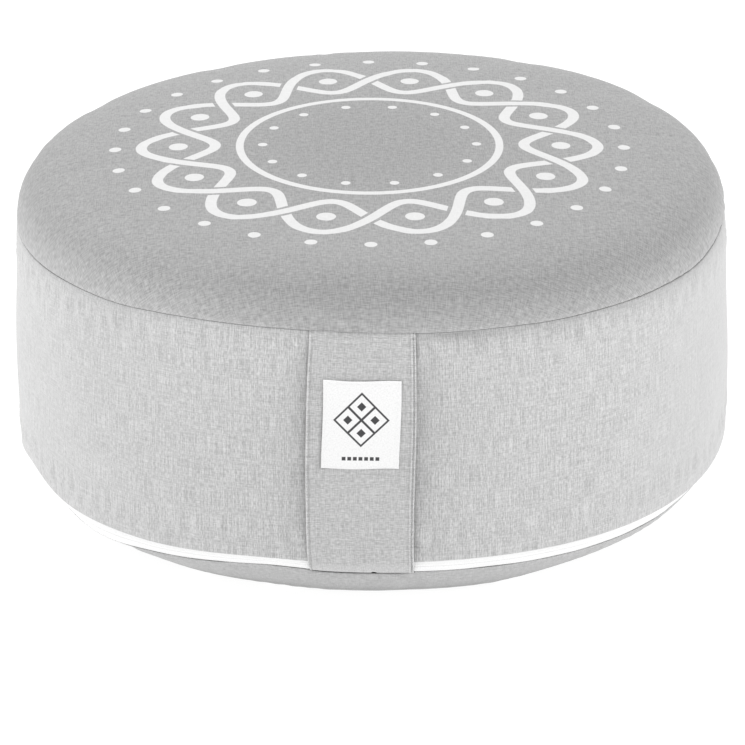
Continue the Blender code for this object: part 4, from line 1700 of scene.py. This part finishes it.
class ZAFU_OT_zip(bpy.types.Operator):
    """The closed zip let in round the foot"""
    bl_idname = "zafu.zip"
    bl_label = "Closed zip"

    def execute(self, context):
        path = zip_section()
        total = lengths(path)[-1]
        distance = np.linspace(0.0, total, 40)
        off_middle = np.abs(distance - 0.5 * total)
        coil = COIL[0] * (1.0 - ramp(off_middle, *COIL[1:]))
        groove = COIL_GROOVE * hump(off_middle, 0.0, COIL_GROOVE)
        mesh = strip_panel("closed_zip", "zip", path, distance, coil - groove)
        dress_strip(mesh, path, "zip", zip_material())
        return {"FINISHED"}


class ZAFU_OT_lower(bpy.types.Operator):
    """The lower band, which tucks in under the cushion"""
    bl_idname = "zafu.lower"
    bl_label = "Lower band"

    def execute(self, context):
        path = lower_section(context.scene.zafu_shape.seam_roll)
        distance = spacing(path, *LOWER_STEPS)
        mesh = strip_panel("lower_band_cloth", "lower", path, distance, 0.0 * distance)
        dress_strip(mesh, path, "lower_band", lower_material())
        return {"FINISHED"}


class ZAFU_OT_base(bpy.types.Operator):
    """The printed round base"""
    bl_idname = "zafu.base"
    bl_label = "Printed base"

    def execute(self, context):
        path = base_section(context.scene.zafu_shape.seam_roll)
        mesh = round_panel("printed_base", "base", path, True)
        dress_round(mesh, "base_panel", base_material())
        return {"FINISHED"}


class ZAFU_OT_strap(bpy.types.Operator):
    """The strap handle, folded double, with a row of topstitching along each edge"""
    bl_idname = "zafu.strap"
    bl_label = "Strap handle"

    def execute(self, context):
        sewing = context.scene.zafu_sewing
        piece = dress(strap_mesh(), "handle", strap_material())
        length = strap_lengths(1.0)
        fine = np.linspace(0.0, 1.0, 60)
        rows = []
        for side, inset in ((-1.0, sewing.strap_left), (1.0, sewing.strap_right)):
            across = side * (strap_width(fine) - inset)
            along = strap_lengths(fine)
            starts, ends = row_of_stitches((0.0, 0.004), (0.0, float(length) - 0.003))
            for points in (starts, ends):
                points[:, 0] = np.interp(points[:, 1], along, across)
            rows.append((starts, ends))
        proud = STRAP_FACE - STITCH_SINK + 0.30 * sewing.thread + STRAP_RIDGE
        mesh = stitch_mesh("strap_topstitching", rows, on_strap, proud)
        thread = thread_material("light_grey_thread", context.scene.zafu_cloth.band)
        dress(mesh, None, thread)
        return {"FINISHED"}


class ZAFU_OT_label(bpy.types.Operator):
    """The woven label and its stitching"""
    bl_idname = "zafu.label"
    bl_label = "Woven label"

    def execute(self, context):
        piece = dress(label_mesh(), "label", label_material())
        inset = context.scene.zafu_sewing.label_edge
        half = (0.5 * LABEL_WIDTH - inset, 0.5 * LABEL_HEIGHT - inset)
        corners = [(-half[0], -half[1]), (half[0], -half[1]),
                   (half[0], half[1]), (-half[0], half[1])]
        sides = [row_of_stitches(a, b) for a, b in zip(corners, corners[1:] + corners[:1])]

        def place(across, up, proud):
            """Points on the waved label, where its stitches lie."""
            return on_label(across, up, proud + label_wave(across, up))

        mesh = stitch_mesh("label_stitching", sides, place, LABEL_FACE)
        thread = thread_material("white_thread", context.scene.zafu_cloth.label)
        dress(mesh, None, thread)
        return {"FINISHED"}


class ZAFU_OT_stage(bpy.types.Operator):
    """Pale floor, soft light and the photograph's view"""
    bl_idname = "zafu.stage"
    bl_label = "Floor, light and camera"

    def execute(self, context):
        make_floor()
        make_light(context.scene)
        make_camera(context.scene)
        context.scene.view_settings.view_transform = "Standard"
        return {"FINISHED"}


FLOOR_SIDES = 96
FLOOR_RADIUS = 4.0
FLOOR_DROP = 0.0003           # of the floor under the cushion's base
FLOOR_LOOK = {
    "Base Color": (0.20, 0.20, 0.20, 1.0), "Roughness": 1.0, "Specular IOR Level": 0.0,
    "Emission Color": (1.0, 1.0, 1.0, 1.0), "Emission Strength": 0.90,
}
SURROUND = 1.10
LAMPS = (                     # name, place, width, power
    ("left_lamp", (-1.7, 0.2, 1.6), 1.4, 18.0),
    ("right_lamp", (2.2, -0.5, 1.5), 1.6, 17.0),
    ("back_lamp", (0.0, 2.4, 1.8), 2.0, 3.0),
)
LAMP_AIM = Vector((0.0, 0.0, 0.1))


def make_floor():
    """A plain pale disc under the cushion, lit through a little so that shadows stay faint."""
    turn = np.linspace(0.0, 2.0 * math.pi, FLOOR_SIDES, endpoint=False)
    rim = FLOOR_RADIUS * np.stack([np.cos(turn), np.sin(turn), 0.0 * turn], axis=1)
    points = np.concatenate([rim, [[0.0, 0.0, 0.0]]]) - [0.0, 0.0, FLOOR_DROP]
    ring = np.arange(FLOOR_SIDES)
    middle = np.full(FLOOR_SIDES, FLOOR_SIDES)
    fan = np.stack([middle, ring, (ring + 1) % FLOOR_SIDES], axis=1)
    mesh = new_mesh("floor", points, np.zeros((0, 4), int), fan)
    mesh.materials.append(new_material("floor", FLOOR_LOOK)[0])
    new_object("floor", mesh)


def make_light(scene):
    """An even white surround, and two large soft lamps that light the sides more."""
    world = bpy.data.worlds.new("surround")
    scene.world = world
    world.use_nodes = True
    surround = next(node for node in world.node_tree.nodes if node.type == "BACKGROUND")
    surround.inputs["Color"].default_value = (1.0, 1.0, 1.0, 1.0)
    surround.inputs["Strength"].default_value = SURROUND
    for name, place, width, power in LAMPS:
        lamp = bpy.data.lights.new(name, "AREA")
        lamp.size = width
        lamp.energy = power
        holder = new_object(name, lamp)
        holder.location = place
        aim = LAMP_AIM - Vector(place)
        holder.rotation_euler = aim.to_track_quat("-Z", "Y").to_euler()


def make_camera(scene):
    """The photograph's view: aimed so that the target shows at its own pixel, with no shift."""
    back = Vector((0.0, -math.cos(ELEVATION), math.sin(ELEVATION)))
    place = TARGET + DISTANCE * back
    looking = (-back).to_track_quat("-Z", "Y").to_matrix().to_4x4()
    down = math.atan((0.5 * PICTURE - TARGET_PIXEL[1]) / FOCAL_PIXELS)
    right = math.atan((0.5 * PICTURE - TARGET_PIXEL[0]) / FOCAL_PIXELS)
    aim = Matrix.Rotation(ROLL, 4, "Z") @ Matrix.Rotation(-down, 4, "X")
    aim = aim @ Matrix.Rotation(-right, 4, "Y")
    camera = bpy.data.cameras.new("camera")
    camera.sensor_fit = "HORIZONTAL"
    camera.sensor_width = SENSOR
    camera.lens = FOCAL_PIXELS * SENSOR / PICTURE
    camera.clip_start, camera.clip_end = 0.05, 50.0
    holder = new_object("camera", camera)
    holder.matrix_world = Matrix.Translation(place) @ looking @ aim
    scene.camera = holder


# ---------------------------------------------------------------- panel and registration

OPERATORS = (
    ZAFU_OT_stage, ZAFU_OT_body, ZAFU_OT_top, ZAFU_OT_zip, ZAFU_OT_lower, ZAFU_OT_base,
    ZAFU_OT_strap, ZAFU_OT_label,
)
SETTINGS = (
    ("zafu_shape", ZafuShape), ("zafu_cloth", ZafuCloth),
    ("zafu_print", ZafuPrint), ("zafu_sewing", ZafuSewing),
)


class ZAFU_PT_tools(bpy.types.Panel):
    """Sizes, colours and pieces of the cushion"""
    bl_label = "Zafu cushion"
    bl_idname = "ZAFU_PT_tools"
    bl_space_type = "VIEW_3D"
    bl_region_type = "UI"
    bl_category = "Zafu"

    def draw(self, context):
        for name, group in SETTINGS:
            box = self.layout.box()
            settings = getattr(context.scene, name)
            for key in group.__annotations__:
                box.prop(settings, key)
        for operator in OPERATORS:
            self.layout.operator(operator.bl_idname)


def register():
    """Register the settings, the operators and the panel."""
    for _, group in SETTINGS:
        bpy.utils.register_class(group)
    for operator in OPERATORS:
        bpy.utils.register_class(operator)
    bpy.utils.register_class(ZAFU_PT_tools)
    for name, group in SETTINGS:
        setattr(bpy.types.Scene, name, PointerProperty(type=group))


def unregister():
    """Take back all that register has done."""
    for name, _ in SETTINGS:
        delattr(bpy.types.Scene, name)
    bpy.utils.unregister_class(ZAFU_PT_tools)
    for operator in reversed(OPERATORS):
        bpy.utils.unregister_class(operator)
    for _, group in reversed(SETTINGS):
        bpy.utils.unregister_class(group)


def main():
    """Make the stage, then every piece in turn."""
    register()
    bpy.ops.zafu.stage()
    bpy.ops.zafu.body()
    bpy.ops.zafu.top()
    bpy.ops.zafu.zip()
    bpy.ops.zafu.lower()
    bpy.ops.zafu.base()
    bpy.ops.zafu.strap()
    bpy.ops.zafu.label()


if __name__ == "__main__":
    main()
